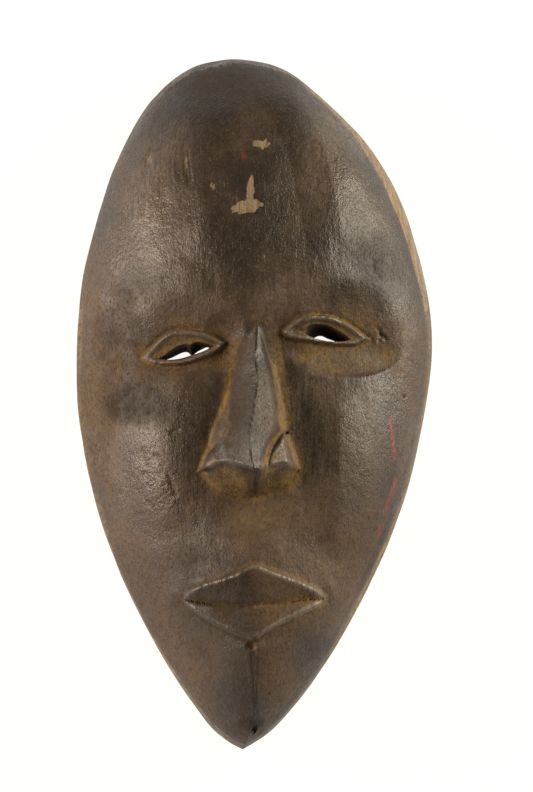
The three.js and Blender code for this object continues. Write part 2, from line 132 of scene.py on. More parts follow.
# Each wing: its left and right border along the face, a point of its top plane and the slopes there.
LEFT_WING = {
    "left": [(-125, -15.8), (-26, -15.4), (-22.5, -14.4), (-20, -12.9), (-18, -11), (-16.5, -9), (-12, -2)],
    "right": [(-125, -4), (-26, -5), (-22.5, -6), (-20, -7.4), (-18, -8.6), (-16.5, -10), (-12, -16)],
    "point": (-11.5, -25, 52.4), "slopes": (0.35, -0.3), "side": 2.6, "rounding": 2.4,
}
RIGHT_WING = {
    "left": [(-125, 4.6), (-28, 4.8), (-25, 5.4), (-21, 7), (-18, 9), (-15.5, 10.8), (-12, 18)],
    "right": [(-125, 12.6), (-28, 12.4), (-25, 12), (-21, 11.2), (-18, 10.6), (-15.5, 10), (-12, 4)],
    "point": (9.8, -24.5, 53.3), "slopes": (-0.42, -0.42), "side": 2.4, "rounding": 0.9,
}
# The nose's lower border, where its underside meets the lip, and that border's height, from left to right.
NOSE_END = [(-60, -30), (-17.8, -27.6), (-15.4, -26.1), (-12.6, -25.4), (-10, -25.2), (-7, -25.8),
            (-4.6, -26.7), (-2, -27.8), (0.5, -28.4), (3.2, -27.7), (6.1, -26.4), (9.7, -25.6),
            (12.6, -25.8), (14.8, -27), (60, -30)]
NOSE_FOOT = [(-60, -32), (-18.2, -28.6), (-16, -31.5), (-13.1, -34), (-7, -36.5), (-1.1, -37.2),
             (4.9, -35.8), (11, -32.4), (13.4, -30), (15.2, -27.8), (60, -32)]
NOSE_EDGE = [(-60, 44), (-17.6, 45), (-15.4, 48.5), (-12.6, 51.5), (-10, 53), (-7, 55), (-4.6, 57.4),
             (-2, 60.8), (0.3, 63), (2.5, 60), (6.1, 55.6), (9.7, 54.6), (13.3, 51), (15.6, 45.5),
             (60, 44)]
# each groove: path, half width, depth
WING_GROOVES = [
    ([(11.2, -14.6), (8.2, -16.8), (5.6, -19.8), (4.2, -23), (3.6, -27.6)], 1.6, 0.35),
    ([(-12.4, -14.5), (-10.6, -16.6), (-9.2, -19), (-8.8, -21)], 1.6, 0.4),
]


# Numbers

def smooth(low, high, value):
    share = np.clip((value - low) / (high - low), 0, 1)
    return share * share * (3 - 2 * share)


def hump(start, full, ease, end, value):
    """1 between full and ease, and smoothly down to 0 at start and at end."""
    return smooth(start, full, value) * smooth(end, ease, value)


def curve(points, places, steady=False):
    """A smooth curve through the points, read at the places; a steady one never passes its points."""
    knots = np.array([p[0] for p in points], float)
    values = np.array([p[1] for p in points], float)
    steps = np.diff(knots)
    rises = np.diff(values) / steps
    inner = (rises[:-1] * steps[1:] + rises[1:] * steps[:-1]) / (steps[:-1] + steps[1:])
    if steady:
        limit = 3 * np.minimum(np.abs(rises[:-1]), np.abs(rises[1:])) * (rises[:-1] * rises[1:] > 0)
        inner = np.clip(inner, -limit, limit)
    tangents = np.concatenate([[rises[0]], inner, [rises[-1]]])
    places = np.clip(places, knots[0], knots[-1])
    i = np.clip(np.searchsorted(knots, places) - 1, 0, len(steps) - 1)
    t = (places - knots[i]) / steps[i]
    return (values[i] * (1 + 2 * t) * (1 - t) ** 2 + tangents[i] * steps[i] * t * (1 - t) ** 2
            + values[i + 1] * t * t * (3 - 2 * t) + tangents[i + 1] * steps[i] * t * t * (t - 1))


def soft_max(a, b, blend):
    overlap = np.clip(1 - np.abs(a - b) / blend, 0, None)
    return np.maximum(a, b) + overlap * overlap * blend / 4


def spot(place, x, y, power):
    """Strength at a place inside an ellipse, given by its centre, its two reaches and its full strength."""
    away = ((x - place[0]) / place[2]) ** 2 + ((y - place[1]) / place[3]) ** 2
    return place[4] * np.clip(1 - away, 0, 1) ** power


def spots_over(places, x, y, power=0.8):
    return sum(spot(place, x, y, power) for place in places)


def strongest(layers):
    return np.maximum.reduce(list(layers))


def from_path(path, x, y, sides=False):
    """Distance to a line through the points, the share of the way along it, and the side it is on."""
    nearest = np.full(np.shape(x), 1e9)
    along = np.zeros(np.shape(x))
    side = np.zeros(np.shape(x))
    points = [np.array(p[:2], float) for p in path]
    lengths = [np.hypot(*(b - a)) for a, b in zip(points, points[1:])]
    total = sum(lengths)
    done = 0.0
    for (a, b), length in zip(zip(points, points[1:]), lengths):
        run = b - a
        t = np.clip(((x - a[0]) * run[0] + (y - a[1]) * run[1]) / length ** 2, 0, 1)
        away = np.hypot(x - a[0] - run[0] * t, y - a[1] - run[1] * t)
        closer = away < nearest
        nearest = np.where(closer, away, nearest)
        along = np.where(closer, (done + t * length) / total, along)
        if sides:
            # of a path that runs down the face, the left side as it is seen is negative
            turn = (y - a[1]) * run[0] - (x - a[0]) * run[1]
            side = np.where(closer, np.sign(turn), side)
        done += length
    return (nearest, along, side) if sides else (nearest, along)


CELLS = 256
LATTICE = np.random.default_rng(7).random((CELLS, CELLS))


def grain(x, y, seed=0):
    """Smooth noise from 0 to 1 whose lumps are one unit apart."""
    x = x + 17.3 * seed
    y = y + 31.7 * seed
    column = np.floor(x).astype(int)
    row = np.floor(y).astype(int)
    across = x - column
    along = y - row
    across = across * across * (3 - 2 * across)
    along = along * along * (3 - 2 * along)

    def corner(i, j):
        return LATTICE[(row + j) % CELLS, (column + i) % CELLS]

    low = corner(0, 0) * (1 - across) + corner(1, 0) * across
    high = corner(0, 1) * (1 - across) + corner(1, 1) * across
    return low * (1 - along) + high * along


def rough(x, y, seed=0, octaves=3):
    """The same noise with finer lumps on top, each layer half as large and half as strong."""
    total = np.zeros(np.shape(x))
    weight = 0.0
    for k in range(octaves):
        total += grain(x * 2 ** k, y * 2 ** k, seed + k) / 2 ** k
        weight += 1 / 2 ** k
    return total / weight


def scallops(x, y, seed=0):
    """Shallow overlapping cuts of a blade: 0 in the middle of each, 1 at the ridges between."""
    column = np.floor(x).astype(int)
    row = np.floor(y).astype(int)
    first = np.full(np.shape(x), 1e9)
    second = np.full(np.shape(x), 1e9)
    for i in (-1, 0, 1):
        for j in (-1, 0, 1):
            a = (column + i + 13 * seed) % CELLS
            b = (row + j + 29 * seed) % CELLS
            away = np.hypot(x - column - i - LATTICE[b, a], y - row - j - LATTICE[a, b])
            second = np.minimum(second, np.maximum(away, first))
            first = np.minimum(first, away)
    return np.clip(first / (first + second) * 2, 0, 1)


# The outline

def rim_table():
    points = np.array(RIM) * (WIDTH / 2, LENGTH / 2)
    count = len(points)
    t = np.linspace(0, count - 1, count * 24 + 1)
    i = np.minimum(t.astype(int), count - 2)
    t = (t - i)[:, None]
    before, a, b, after = (points[np.clip(i + k, 0, count - 1)] for k in (-1, 0, 1, 2))
    line = 0.5 * (2 * a + (b - before) * t + (2 * before - 5 * a + 4 * b - after) * t ** 2
                  + (3 * a - before - 3 * b + after) * t ** 3)
    low, high = line.min(0), line.max(0)
    line = (line - (low + high) / 2) * (WIDTH, LENGTH) / (high - low)
    pole = line[0, 0]
    arms = line - (pole, 0)
    angles = bearing(arms[:, 0], arms[:, 1])
    angles[0], angles[-1] = 0, 2 * math.pi
    return pole, angles, np.hypot(arms[:, 0], arms[:, 1])


def bearing(across, along):
    return np.arctan2(-across, -along) % (2 * math.pi)


POLE, RIM_ANGLES, RIM_REACHES = rim_table()


def reach_at(across, along):
    return np.interp(bearing(across, along), RIM_ANGLES, RIM_REACHES)


def lean_at(across, along):
    return EDGE_LEAN * curve(LEAN_ROUND, bearing(across, along) / (2 * math.pi), steady=True)


def inset_reaches(width):
    """The outline moved in by the width, as reaches at the outline's own angles."""
    rim = np.stack([-np.sin(RIM_ANGLES) * RIM_REACHES, -np.cos(RIM_ANGLES) * RIM_REACHES], 1)
    path = rim[::4]
    inside = np.zeros(len(rim))
    outside = RIM_REACHES.copy()
    for _ in range(14):
        half = (inside + outside) / 2
        clear, _ = from_path(path, -np.sin(RIM_ANGLES) * half, -np.cos(RIM_ANGLES) * half)
        inside = np.where(clear > width, half, inside)
        outside = np.where(clear > width, outside, half)
    return inside


HOLLOW_REACHES = inset_reaches(RIM_WIDTH)


def ridge_shift(share):
    return RIDGE_SHIFT * (1 - np.clip(share, 0, 1) ** 9)


def ring_of(x, y):
    """Share of the way from the middle to the side band, for any place on the face, found by halving."""
    low = np.zeros(np.shape(x))
    high = np.ones(np.shape(x))
    for _ in range(16):
        share = (low + high) / 2
        across = x - POLE - ridge_shift(share)
        reach = reach_at(across, y)
        beyond = np.hypot(across, y) > share * reach
        low = np.where(beyond, share, low)
        high = np.where(beyond, high, share)
    return np.clip(share * reach / (reach - lean_at(across, y)), 0, 1)


# The carved face

# the dome's section: where the curve is cut off, and its two powers
DOME_END = 0.985
DOME_POWERS = (2.7, 0.56)


def dome(ring):
    """Height of the dome as a share, from 1 in the middle to 0 at the side band."""
    def at(share):
        return (1 - (DOME_END * share) ** DOME_POWERS[0]) ** DOME_POWERS[1]
    return (at(ring) - at(1)) / (1 - at(1))


def crown_line(y):
    return curve(CROWN_LINE, y, steady=True)


def tent(x, y, path, left, right, height, blunt):
    """A crease that stands out along a path, faded at the path's two ends."""
    away, along, side = from_path(path, x, y, sides=True)
    ends = hump(0, 0.2, 0.8, 1, along)
    spread = np.where(side < 0, left, right)
    return height * ends * np.clip(1 - np.sqrt(away ** 2 + blunt ** 2) / spread, 0, None)


# each swelling: centre, reaches, height
SWELLINGS = [
    (-32, -15, 22, 38, 2.9), (33, -17, 22, 42, 2.9), (0, -72, 40, 27, 3.2), (0, -40, 16, 14, -2.6),
    (-10, 12.5, 10, 18, -3.0), (11, 16, 10, 18, -3.0), (24, 34, 26, 16, 0.9), (-24, 32, 26, 15, 0.9),
    (-40, 80, 18, 30, 2.3), (36, 86, 17, 28, 1.7),
]
# each crease: path, reach to its left, reach to its right, height, how blunt it is
CREASES = [
    ([(4, 122), (9, 116), (16, 107), (22, 95), (26.5, 82), (28.5, 68), (31, 57), (37, 48)], 13, 20, 2.3, 0.4),
    ([(-13, 112), (-17, 98), (-18, 78), (-17, 62), (-22, 46)], 16, 14, 1.3, 1.2),
    ([(29, 5), (30, -18), (30, -44), (26, -60)], 13, 18, 1.9, 0.5),
    ([(-30, -8), (-30, -25), (-27, -50)], 16, 14, 0.9, 2.5),
    ([(-54, -6), (-42, -9), (-29, -10)], 14, 14, 0.7, 1.5),
    ([(-2, 88), (-1.8, 60), (-1.2, 30), (0.6, 20)], 12, 12, 0.5, 0.6),
    ([(0, -34), (0, -50), (0, -62)], 12, 12, 0.6, 0.6),
    ([(0, -84), (0.3, -92), (0.9, -99), (1.3, -105), (2, -116)], 15, 18, 2.2, 0.3),
    ([(-12, -111.5), (0, -114), (9, -112)], 7, 7, 0.6, 0.3),
    ([(25, -66), (27.8, -69.4), (28.8, -72.5), (27.6, -76)], 3, 3, 0.6, 0.5),
    ([(-27.4, -68), (-29.2, -71.4), (-29.4, -75.4)], 3, 3, 0.6, 0.5),
]


def socket_depth(x, y):
    """How deep the eye sockets are: the right one has a crisp lower edge."""
    right = 1 - np.abs((x - 31.7) / 21.6) ** 2.3 - np.abs((y - 19.4) / np.where(y > 19.4, 21, 14.6)) ** 2.3
    crisp = smooth(19, 12, y) * smooth(8, 20, x)
    right = np.clip(right, 0, 1)
    right = right ** 1.8 * (1 - crisp) + right ** 0.8 * crisp
    left = 1 - ((x + 25.5) / 24) ** 2 - ((y - 15) / np.where(y > 15, 22, 12.5)) ** 2
    left = np.clip(left, 0, 1) ** 1.6
    return SOCKET_DEPTH * np.maximum(right, left * 0.95)


def bare_face(x, y, ring):
    """The face without its lids, nose and lips."""
    height = EDGE_HEIGHT + (crown_line(y) - EDGE_HEIGHT) * dome(ring)
    inner = smooth(1, 0.8, ring)
    height += spots_over(SWELLINGS, x, y, 2) * inner
    for path, left, right, rise, blunt in CREASES:
        height += tent(x, y, path, left, right, rise, blunt) * inner
    return height - socket_depth(x, y) * inner


def inside(shape, x, y):
    """Distance inside a closed shape given by its upper and lower curves, about right near its edge."""
    upper, lower = shape["upper"], shape["lower"]
    left, right = upper[0][0], upper[-1][0]
    step = 0.2
    distances = []
    for side, sign in ((upper, 1), (lower, -1)):
        slope = (curve(side, x + step) - curve(side, x - step)) / (2 * step)
        distances.append(sign * (curve(side, x) - y) / np.sqrt(1 + slope ** 2))
    ends = np.minimum(x - left, right - x)
    return np.minimum(np.minimum(*distances), np.where(ends < 0, ends, 1e9))


def rows(table, column, y):
    """One column of a table, read at the places y along the face."""
    return curve([(row[0], row[column]) for row in sorted(table)], y)


def nose_form(x, y):
    """The nose's own height: a plane on each side of the ridge, and a steeper fall beyond it."""
    away = x - rows(NOSE, 1, y)
    out = np.sqrt(away ** 2 + 0.25)
    forms = []
    for side in (0, 1):
        beyond = soft_max(out - rows(NOSE, 3 + side, y), np.zeros(np.shape(x)), NOSE_ROUNDING[side])
        forms.append(NOSE_PLANES[side] * (out - beyond) + NOSE_SIDES[side] * beyond)
    return rows(NOSE, 2, y) - np.where(away < 0, *forms)


def wing_form(wing, x, y):
    beyond = np.maximum(curve(wing["left"], y) - x, x - curve(wing["right"], y))
    beyond = soft_max(beyond, np.zeros(np.shape(x)), wing["rounding"])
    across, along, height = wing["point"]
    top = height + wing["slopes"][0] * (x - across) + wing["slopes"][1] * (y - along)
    return top - wing["side"] * beyond


def nose_rise(x, y):
    """How far the nose and its wings stand above the bare face."""
    end = curve(NOSE_END, x)
    foot = curve(NOSE_FOOT, x)
    top = np.maximum(y, end)
    form = soft_max(nose_form(x, top), wing_form(LEFT_WING, x, top), 1.6)
    form = soft_max(form, wing_form(RIGHT_WING, x, top), 0.4)
    for path, half, deep in WING_GROOVES:
        away, along = from_path(path, x, top)
        form = form - deep * smooth(half + 0.6, 0, away) * hump(0, 0.15, 0.85, 1.02, along)
    skin = bare_face(x, top, ring_of(x, top))
    front = soft_max(form, skin, 0.9) - skin
    under = np.clip((y - foot) / np.maximum(end - foot, 0.3), 0, 1)
    within = hump(-18.6, -17.4, 14.8, 16, x)
    edge = np.clip(curve(NOSE_EDGE, x) - skin, 0, None) * within
    beneath = edge + (front - edge) * smooth(0.55, 1, under)
    crease = 1 - 0.1 * np.exp(-((x + 1) / 1.6) ** 2) * smooth(1, 0.8, under)
    return np.where(y < end, beneath * under ** 1.1 * crease, front)


def lid_rise(shape, slit, x, y):
    """A raised lid with a groove round it, falling again towards its slit."""
    depth_in = inside(shape, x, y)
    band = smooth(-0.25, 0.85, depth_in)
    groove = -0.45 * np.exp(-((depth_in + 0.55) / 0.5) ** 2)
    to_slit = -inside(slit, x, y)
    lip = 0.35 * smooth(0, 0.8, to_slit) - 0.35
    return LID_HEIGHT * band + groove + lip * band - 0.8 * smooth(0.9, 3.2, depth_in)


def lip_rise(x, y):
    """The mouth's raised border, the dished lips inside it and the line cut between them."""
    depth_in = inside(MOUTH, x, y)
    line = curve(MOUTH["line"], x)
    reach = np.where(y > line, curve(MOUTH["upper"], x) - line, line - curve(MOUTH["lower"], x))
    share = np.clip(np.abs(y - line) / np.maximum(reach, 0.2), 0, 1)
    deep = LIP_DISH * np.clip(reach / 7, 0, 1) ** 0.8
    dish = deep * (1 - share ** 1.25) * smooth(-0.2, 0.8, depth_in)
    cut = 0.7 * np.exp(-((y - line) / 0.55) ** 2) * smooth(0.3, 1.6, depth_in)
    rim = LIP_HEIGHT * smooth(-0.7, 0.75, depth_in) * hump(-26.5, -20, 21, 27, x)
    return rim - dish * hump(-26, -21, 21.5, 26.5, x) - cut


# each gouge: path, half width, depth
GOUGES = [
    ([(-24.9, 88.4), (-24.3, 82), (-22.6, 73)], 0.5, 0.35),
    ([(-23.4, 86.5), (-22.4, 79), (-21.8, 74)], 0.4, 0.3),
    ([(-9.9, 76), (-9.9, 69)], 0.35, 0.25),
    ([(-9.0, 70), (-8.6, 65)], 0.35, 0.2),
    ([(-34.5, -22), (-30, -28), (-27, -36)], 0.8, 0.35),
    ([(-38.8, -20), (-37.5, -30)], 0.7, 0.3),
    ([(-29, -14.5), (-26.2, -13.6)], 0.6, 0.35),
    ([(43.6, 22.8), (44.8, 20.4), (46.6, 19)], 0.35, 0.9),
    ([(44.6, 20.6), (44.2, 18.2)], 0.3, 0.6),
    ([(41.8, 58.5), (42, 55.5)], 0.5, 0.45),
    ([(46.5, 59), (46.6, 56)], 0.5, 0.4),
    ([(42, 46.5), (42.6, 41.5)], 0.6, 0.45),
    ([(43.8, 42), (44.2, 38.5)], 0.5, 0.4),
    ([(45.4, 47.5), (45, 43.5)], 0.6, 0.35),
    ([(47.3, 44), (48, 40)], 0.5, 0.3),
    ([(7.5, 48.5), (4.5, 45.5)], 0.7, 0.12),
    ([(0.2, -87.6), (0.4, -91)], 0.8, 0.5),
    ([(-0.8, -89), (-0.1, -99), (0.4, -107), (1.2, -113)], 0.5, 0.25),
]
# each pit: centre, radius, depth; the first four have painted shade inside
DARK_PITS = 4
PITS = [
    ((-0.1, -117.6), 1.1, 2.2), ((11.4, -14.8), 0.6, 1.3), ((2.4, -27.6), 0.45, 0.8), ((53, -0.8), 0.45, 0.8),
    ((35.4, 70), 0.4, 0.3), ((14.2, 21.6), 0.8, 0.5), ((-1, -88.6), 1.5, 1.0), ((-39.5, 80), 0.5, 0.4),
]
# each chip: centre, half length, half width, turn in degrees, depth, how bare the wood is there
CHIPS = [
    ((2.3, 88.1), 3.4, 1.7, 0, 0.28, 0.95),
    ((-1.2, 70.5), 1.3, 5.2, -4, 0.25, 1.0),
    ((-2.2, 64.6), 5.6, 2.1, 12, 0.28, 0.95),
    ((-14.5, 72.4), 1.1, 1.4, 20, 0.15, 0.55),
    ((-37, 84.2), 1.4, 2.4, 10, 0.25, 0.5),
    ((-24, 81), 0.7, 3.6, -4, 0.1, 0.52),
    ((4.2, 47.4), 1.6, 1.0, 20, 0.08, 0.45),
    ((-50.5, 33), 0.9, 2.4, 15, 0.2, 0.5),
    ((25.4, -71), 1.0, 0.7, 0, 0.1, 0.9),
    ((42.6, -65), 0.8, 2.6, -30, 0.9, 1.0),
    ((61.4, 32.3), 0.7, 1.5, 0, 0.6, 1.0),
]


def chip_mask(x, y):
    """How bare the wood is in the broken patches, with ragged edges, and how deep each one is."""
    mask = np.zeros(np.shape(x))
    depth = np.zeros(np.shape(x))
    ragged = (rough(x / 1.3, y / 1.3, 5) - 0.5) * 1.1
    for centre, half_length, half_width, turn, deep, bareness in CHIPS:
        angle = math.radians(turn)
        across = (x - centre[0]) * math.cos(angle) + (y - centre[1]) * math.sin(angle)
        along = (y - centre[1]) * math.cos(angle) - (x - centre[0]) * math.sin(angle)
        within = 1 - np.hypot(across / half_length, along / half_width)
        broken = smooth(-0.12, 0.12, within + ragged * 0.7)
        mask = np.maximum(mask, broken * bareness)
        depth = np.maximum(depth, broken * deep)
    return mask, depth


# where the surface is rougher
GRAINY = [(-38, -36, 17, 34, 1.3), (46, 45, 12, 26, 0.9)]


def marks(x, y, ring):
    """Tool marks, dents, chips and the rubbing of handling, all well under a millimetre."""
    nose = smooth(1.2, 0.8, np.hypot((x + 0.5) / 16, (y + 8) / 30))
    calm = smooth(1, 0.9, ring) * (1 - 0.8 * nose)
    height = (rough(x / 19, y / 26, 1, 2) - 0.5) * 0.9 * calm
    height += (scallops(x / 7.5 + 0.15 * y / 15, y / 15, 2) ** 2 - 0.3) * 0.1 * calm
    grainy = np.clip(spots_over(GRAINY, x, y, 2), 0, 1)
    height += (rough(x / 1.2, y / 1.5, 3, 2) - 0.5) * (0.1 + 0.12 * grainy) * (1 - 0.6 * nose)
    for path, half, deep in GOUGES:
        away, along = from_path(path, x, y)
        height -= deep * np.exp(-(away / half) ** 2)
    for centre, radius, deep in PITS:
        height -= deep * smooth(radius * 1.25, radius * 0.5, np.hypot(x - centre[0], y - centre[1]))
    chin_cut = np.hypot((x + 1) / 4.6, (y + 116.6) / 3.6)
    height -= 0.5 * smooth(1.1, 0.8, chin_cut)
    return height - chip_mask(x, y)[1]


def face(x, y, ring):
    """Height of the whole carved and worn face."""
    lids = lid_rise(LEFT_LID, LEFT_SLIT, x, y) + lid_rise(RIGHT_LID, RIGHT_SLIT, x, y)
    return bare_face(x, y, ring) + nose_rise(x, y) + lids + lip_rise(x, y) + marks(x, y, ring)


# The mesh

# lines of the grid: how many, from where to where they are denser, and by how much
GRID_ACROSS = (206, -0.66, 0.66, 0.5)
GRID_ALONG = (302, -0.8, 0.3, 0.75)
BAND_LINES = 7
BAND_SHARE = 0.06
SOCKET_ROOM = 3


def grid_lines(count, dense_from, dense_to, gain):
    """Grid lines from -1 to 1, closer together where the carving is fine, and on the side band."""
    places = np.linspace(-1, 1, 2001)
    density = 1 + gain * hump(dense_from - 0.1, dense_from, dense_to, dense_to + 0.1, places)
    total = np.concatenate([[0], np.cumsum((density[1:] + density[:-1]) / 2)])
    lines = np.interp(np.linspace(0, total[-1], count), total, places) * (1 - BAND_SHARE)
    band = 1 - BAND_SHARE * (1 - np.linspace(0, 1, BAND_LINES + 1)[1:])
    return np.concatenate([-band[::-1], lines, band])


def ring_grid(u, v):
    """The square's points laid on the mask: direction from the pole, and share of the way out."""
    u, v = np.meshgrid(u, v)
    share = np.maximum(np.abs(u), np.abs(v))
    wide = np.abs(u) > np.abs(v)
    safe = np.where(share == 0, 1, share)
    angle = np.where(wide, v / safe * np.where(wide, np.sign(u), 1), u / safe * np.where(wide, 1, np.sign(v)))
    angle = np.where(wide, math.pi / 4 * angle, math.pi / 2 - math.pi / 4 * angle)
    side = np.where(wide, np.sign(u), np.sign(v))
    side = np.where(share == 0, 1, side)
    across = side * np.cos(angle) * WIDTH
    along = side * np.sin(angle) * LENGTH
    length = np.hypot(across, along)
    return across / length, along / length, share


def front_points(u, v):
    across, along, share = ring_grid(u, v)
    reach = reach_at(across, along)
    lean = lean_at(across, along)
    band = np.clip(share - 1 + BAND_SHARE, 0, None) / BAND_SHARE
    ring = np.clip(share / (1 - BAND_SHARE), 0, 1)
    # the rim's lower edge is rubbed round over the last of the band
    rub = 0.5 * smooth(0.8, 1, band)
    distance = (reach - lean) * ring + lean * np.minimum(band / 0.85, 1)
    x = POLE + across * distance + ridge_shift(distance / reach) - across * rub
    y = along * distance - along * rub
    z = np.where(band > 0, EDGE_HEIGHT * (1 - band), 0)
    inner = band == 0
    z[inner] = face(x[inner], y[inner], ring[inner])
    within_band = np.sin(math.pi * np.clip(band, 0, 1)) * (band > 0)
    uneven = (rough(x / 9, y / 9 + z / 4, 11) - 0.5) * 0.7 * within_band
    return np.stack([x + across * uneven, y + along * uneven, z], -1)


def plain_roof(y, ring):
    """The hollow's roof before it is tooled; the eye sockets need more room than the wall alone."""
    return (crown_line(y) - WALL - SOCKET_ROOM) * dome(ring)


def hollow_roof(x, y, ring):
    cuts = scallops(x / 8 + 0.2 * y / 17, y / 17, 4)
    return plain_roof(y, ring) + (0.35 - cuts ** 2 * 0.75) * smooth(1, 0.9, ring)


def hollow_points(u, v):
    across, along, share = ring_grid(u, v)
    reach = np.interp(bearing(across, along), RIM_ANGLES, HOLLOW_REACHES)
    # and the hollow's edge is eased over its last ring
    ease = 0.5 * smooth(0.97, 1, share)
    distance = reach * share
    x = POLE + across * (distance + ease)
    y = along * (distance + ease)
    return np.stack([x, y, hollow_roof(x, y, share)], -1)


def perimeter(grid):
    """A grid's indices round its border, anticlockwise from its first corner."""
    return list(grid[0, :-1]) + list(grid[:-1, -1]) + list(grid[-1, :0:-1]) + list(grid[:0:-1, 0])


def grid_quads(grid, flip=False):
    corners = [grid[:-1, :-1], grid[:-1, 1:], grid[1:, 1:], grid[1:, :-1]]
    if flip:
        corners = corners[::-1]
    return np.stack([c.ravel() for c in corners], 1).tolist()


def mesh_object(name, points, faces):
    mesh = bpy.data.meshes.new(name)
    mesh.from_pydata([tuple(p) for p in points], [], [tuple(int(i) for i in f) for f in faces])
    mesh.validate()
    piece = bpy.data.objects.new(name, mesh)
    bpy.context.scene.collection.objects.link(piece)
    return piece


def build_block():
    u = grid_lines(*GRID_ACROSS)
    v = grid_lines(*GRID_ALONG)
    front = front_points(u, v)
    # the hollow's own lines match every second line of the front, so the rim joins them simply
    hollow = hollow_points(*(np.concatenate([lines[:1], lines[2:-2:2], lines[-1:]]) for lines in (u, v)))
    front_grid = np.arange(front.size // 3).reshape(front.shape[:2])
    hollow_grid = np.arange(hollow.size // 3).reshape(hollow.shape[:2]) + front_grid.size
    points = np.concatenate([front.reshape(-1, 3), hollow.reshape(-1, 3)]) * MM
    faces = grid_quads(front_grid) + grid_quads(hollow_grid, flip=True)
    faces += stitch(perimeter(front_grid), perimeter(hollow_grid), points)
    return mesh_object("carved_mask", points, faces)


def stitch(outer, inner, points):
    """Faces between two closed loops that run the same way round, whichever is the finer."""
    def turns(loop):
        line = points[loop][:, :2]
        angle = np.unwrap(bearing(line[:, 0] - POLE * MM, line[:, 1]))
        return np.abs(angle - angle[0])

    def ahead(angles, k):
        if k + 1 < len(angles):
            return angles[k + 1]
        return 2 * math.pi if k < len(angles) else math.inf

    a, b = turns(outer), turns(inner)
    i = j = 0
    faces = []
    while i < len(outer) or j < len(inner):
        p, q = outer[i % len(outer)], inner[j % len(inner)]
        if ahead(a, i) <= ahead(b, j):
            faces.append([p, q, outer[(i + 1) % len(outer)]])
            i += 1
        else:
            faces.append([p, q, inner[(j + 1) % len(inner)]])
            j += 1
    return faces


def outline_of(shape, count):
    """Points round a closed shape, anticlockwise from its left end, evenly by eye."""
    left, right = shape["upper"][0][0], shape["upper"][-1][0]
    turns = (1 - np.cos(np.linspace(0, math.pi, count + 1))) / 2
    across = left + (right - left) * turns
    low = [(x, float(curve(shape["lower"], x))) for x in across[:-1]]
    high = [(x, float(curve(shape["upper"], x))) for x in across[:0:-1]]
    return np.array(low + high)


def slit_cutter(name, slit, hole, count=30):
    """A cutter through the wall: the slit in front, narrowing to the hole behind."""
    opening = outline_of(slit, count)
    behind = outline_of(hole, count)
    # each level: height, loop, how far that loop is widened
    levels = [(54, opening, 0.35), (45, opening, 0), (41.5, (opening * 5 + behind) / 6, 0),
              (37.5, (opening + behind) / 2, 0), (34, behind, 0), (20, behind, 0)]
    points = []
    for height, loop, grow in levels:
        middle = loop.mean(0)
        arms = loop - middle
        spread = arms / np.maximum(np.hypot(arms[:, 0], arms[:, 1]), 0.1)[:, None] * grow
        points += [(x, y, height) for x, y in loop + spread]
    size = 2 * count
    faces = []
    for ring in range(len(levels) - 1):
        for k in range(size):
            a, b = ring * size + k, ring * size + (k + 1) % size
            faces.append([a, a + size, b + size, b])
    last = (len(levels) - 1) * size
    for k in range(1, count):
        pair = [k, k + 1, size - k - 1, size - k] if k < count - 1 else [k, k + 1, size - k]
        faces.append(pair)
        faces.append([last + i for i in reversed(pair)])
    faces.append([0, 1, size - 1])
    faces.append([last + size - 1, last + 1, last])
    return mesh_object(name, np.array(points) * MM, faces)


def cut_slits(block):
    cutters = [slit_cutter("left_cutter", LEFT_SLIT, LEFT_HOLE),
               slit_cutter("right_cutter", RIGHT_SLIT, RIGHT_HOLE)]
    for cutter in cutters:
        cut = block.modifiers.new("slit", "BOOLEAN")
        cut.operation = "DIFFERENCE"
        cut.solver = "MANIFOLD"
        cut.object = cutter
    whole = block.evaluated_get(bpy.context.evaluated_depsgraph_get())
    mesh = bpy.data.meshes.new_from_object(whole)
    block.modifiers.clear()
    old = block.data
    block.data = mesh
    bpy.data.meshes.remove(old)
    for cutter in cutters:
        shape = cutter.data
        bpy.data.objects.remove(cutter)
        bpy.data.meshes.remove(shape)
    mesh.name = "carved_mask"


# What lies on the wood, and where shade and highlights are painted, point by point

RASTER = 0.5
MARGIN = 6
SURROUNDINGS = (0.8, 2.6)
# how near the carved height a point of the face is, and from which ring on all points are the face
NEAR_FACE = 0.8
OUTER_RING = 0.93


def blurred(field, radius):
    """The field blurred by a bell of the given radius in cells."""
    fy = np.fft.fftfreq(field.shape[0])[:, None]
    fx = np.fft.fftfreq(field.shape[1])[None, :]
    bell = np.exp(-2 * (math.pi * radius) ** 2 * (fx ** 2 + fy ** 2))
    return np.real(np.fft.ifft2(np.fft.fft2(field) * bell))


def relief_maps():
    """How far each place lies below its surroundings, close by and farther round, on a raster."""
    x = np.arange(-WIDTH / 2 - MARGIN, WIDTH / 2 + MARGIN, RASTER)
    y = np.arange(-LENGTH / 2 - MARGIN, LENGTH / 2 + MARGIN, RASTER)
    across, along = np.meshgrid(x, y)
    height = face(across, along, ring_of(across, along))
    return x, y, [blurred(height, radius / RASTER) - height for radius in SURROUNDINGS]


def read_map(x_axis, y_axis, field, x, y):
    column = np.clip((x - x_axis[0]) / RASTER, 0, len(x_axis) - 1.001)
    row = np.clip((y - y_axis[0]) / RASTER, 0, len(y_axis) - 1.001)
    i, j = column.astype(int), row.astype(int)
    s, t = column - i, row - j
    low = field[j, i] * (1 - s) + field[j, i + 1] * s
    high = field[j + 1, i] * (1 - s) + field[j + 1, i + 1] * s
    return low * (1 - t) + high * t


def near(x, y, path, full, fade):
    away, _ = from_path(path, x, y)
    return smooth(full + fade, full, away)


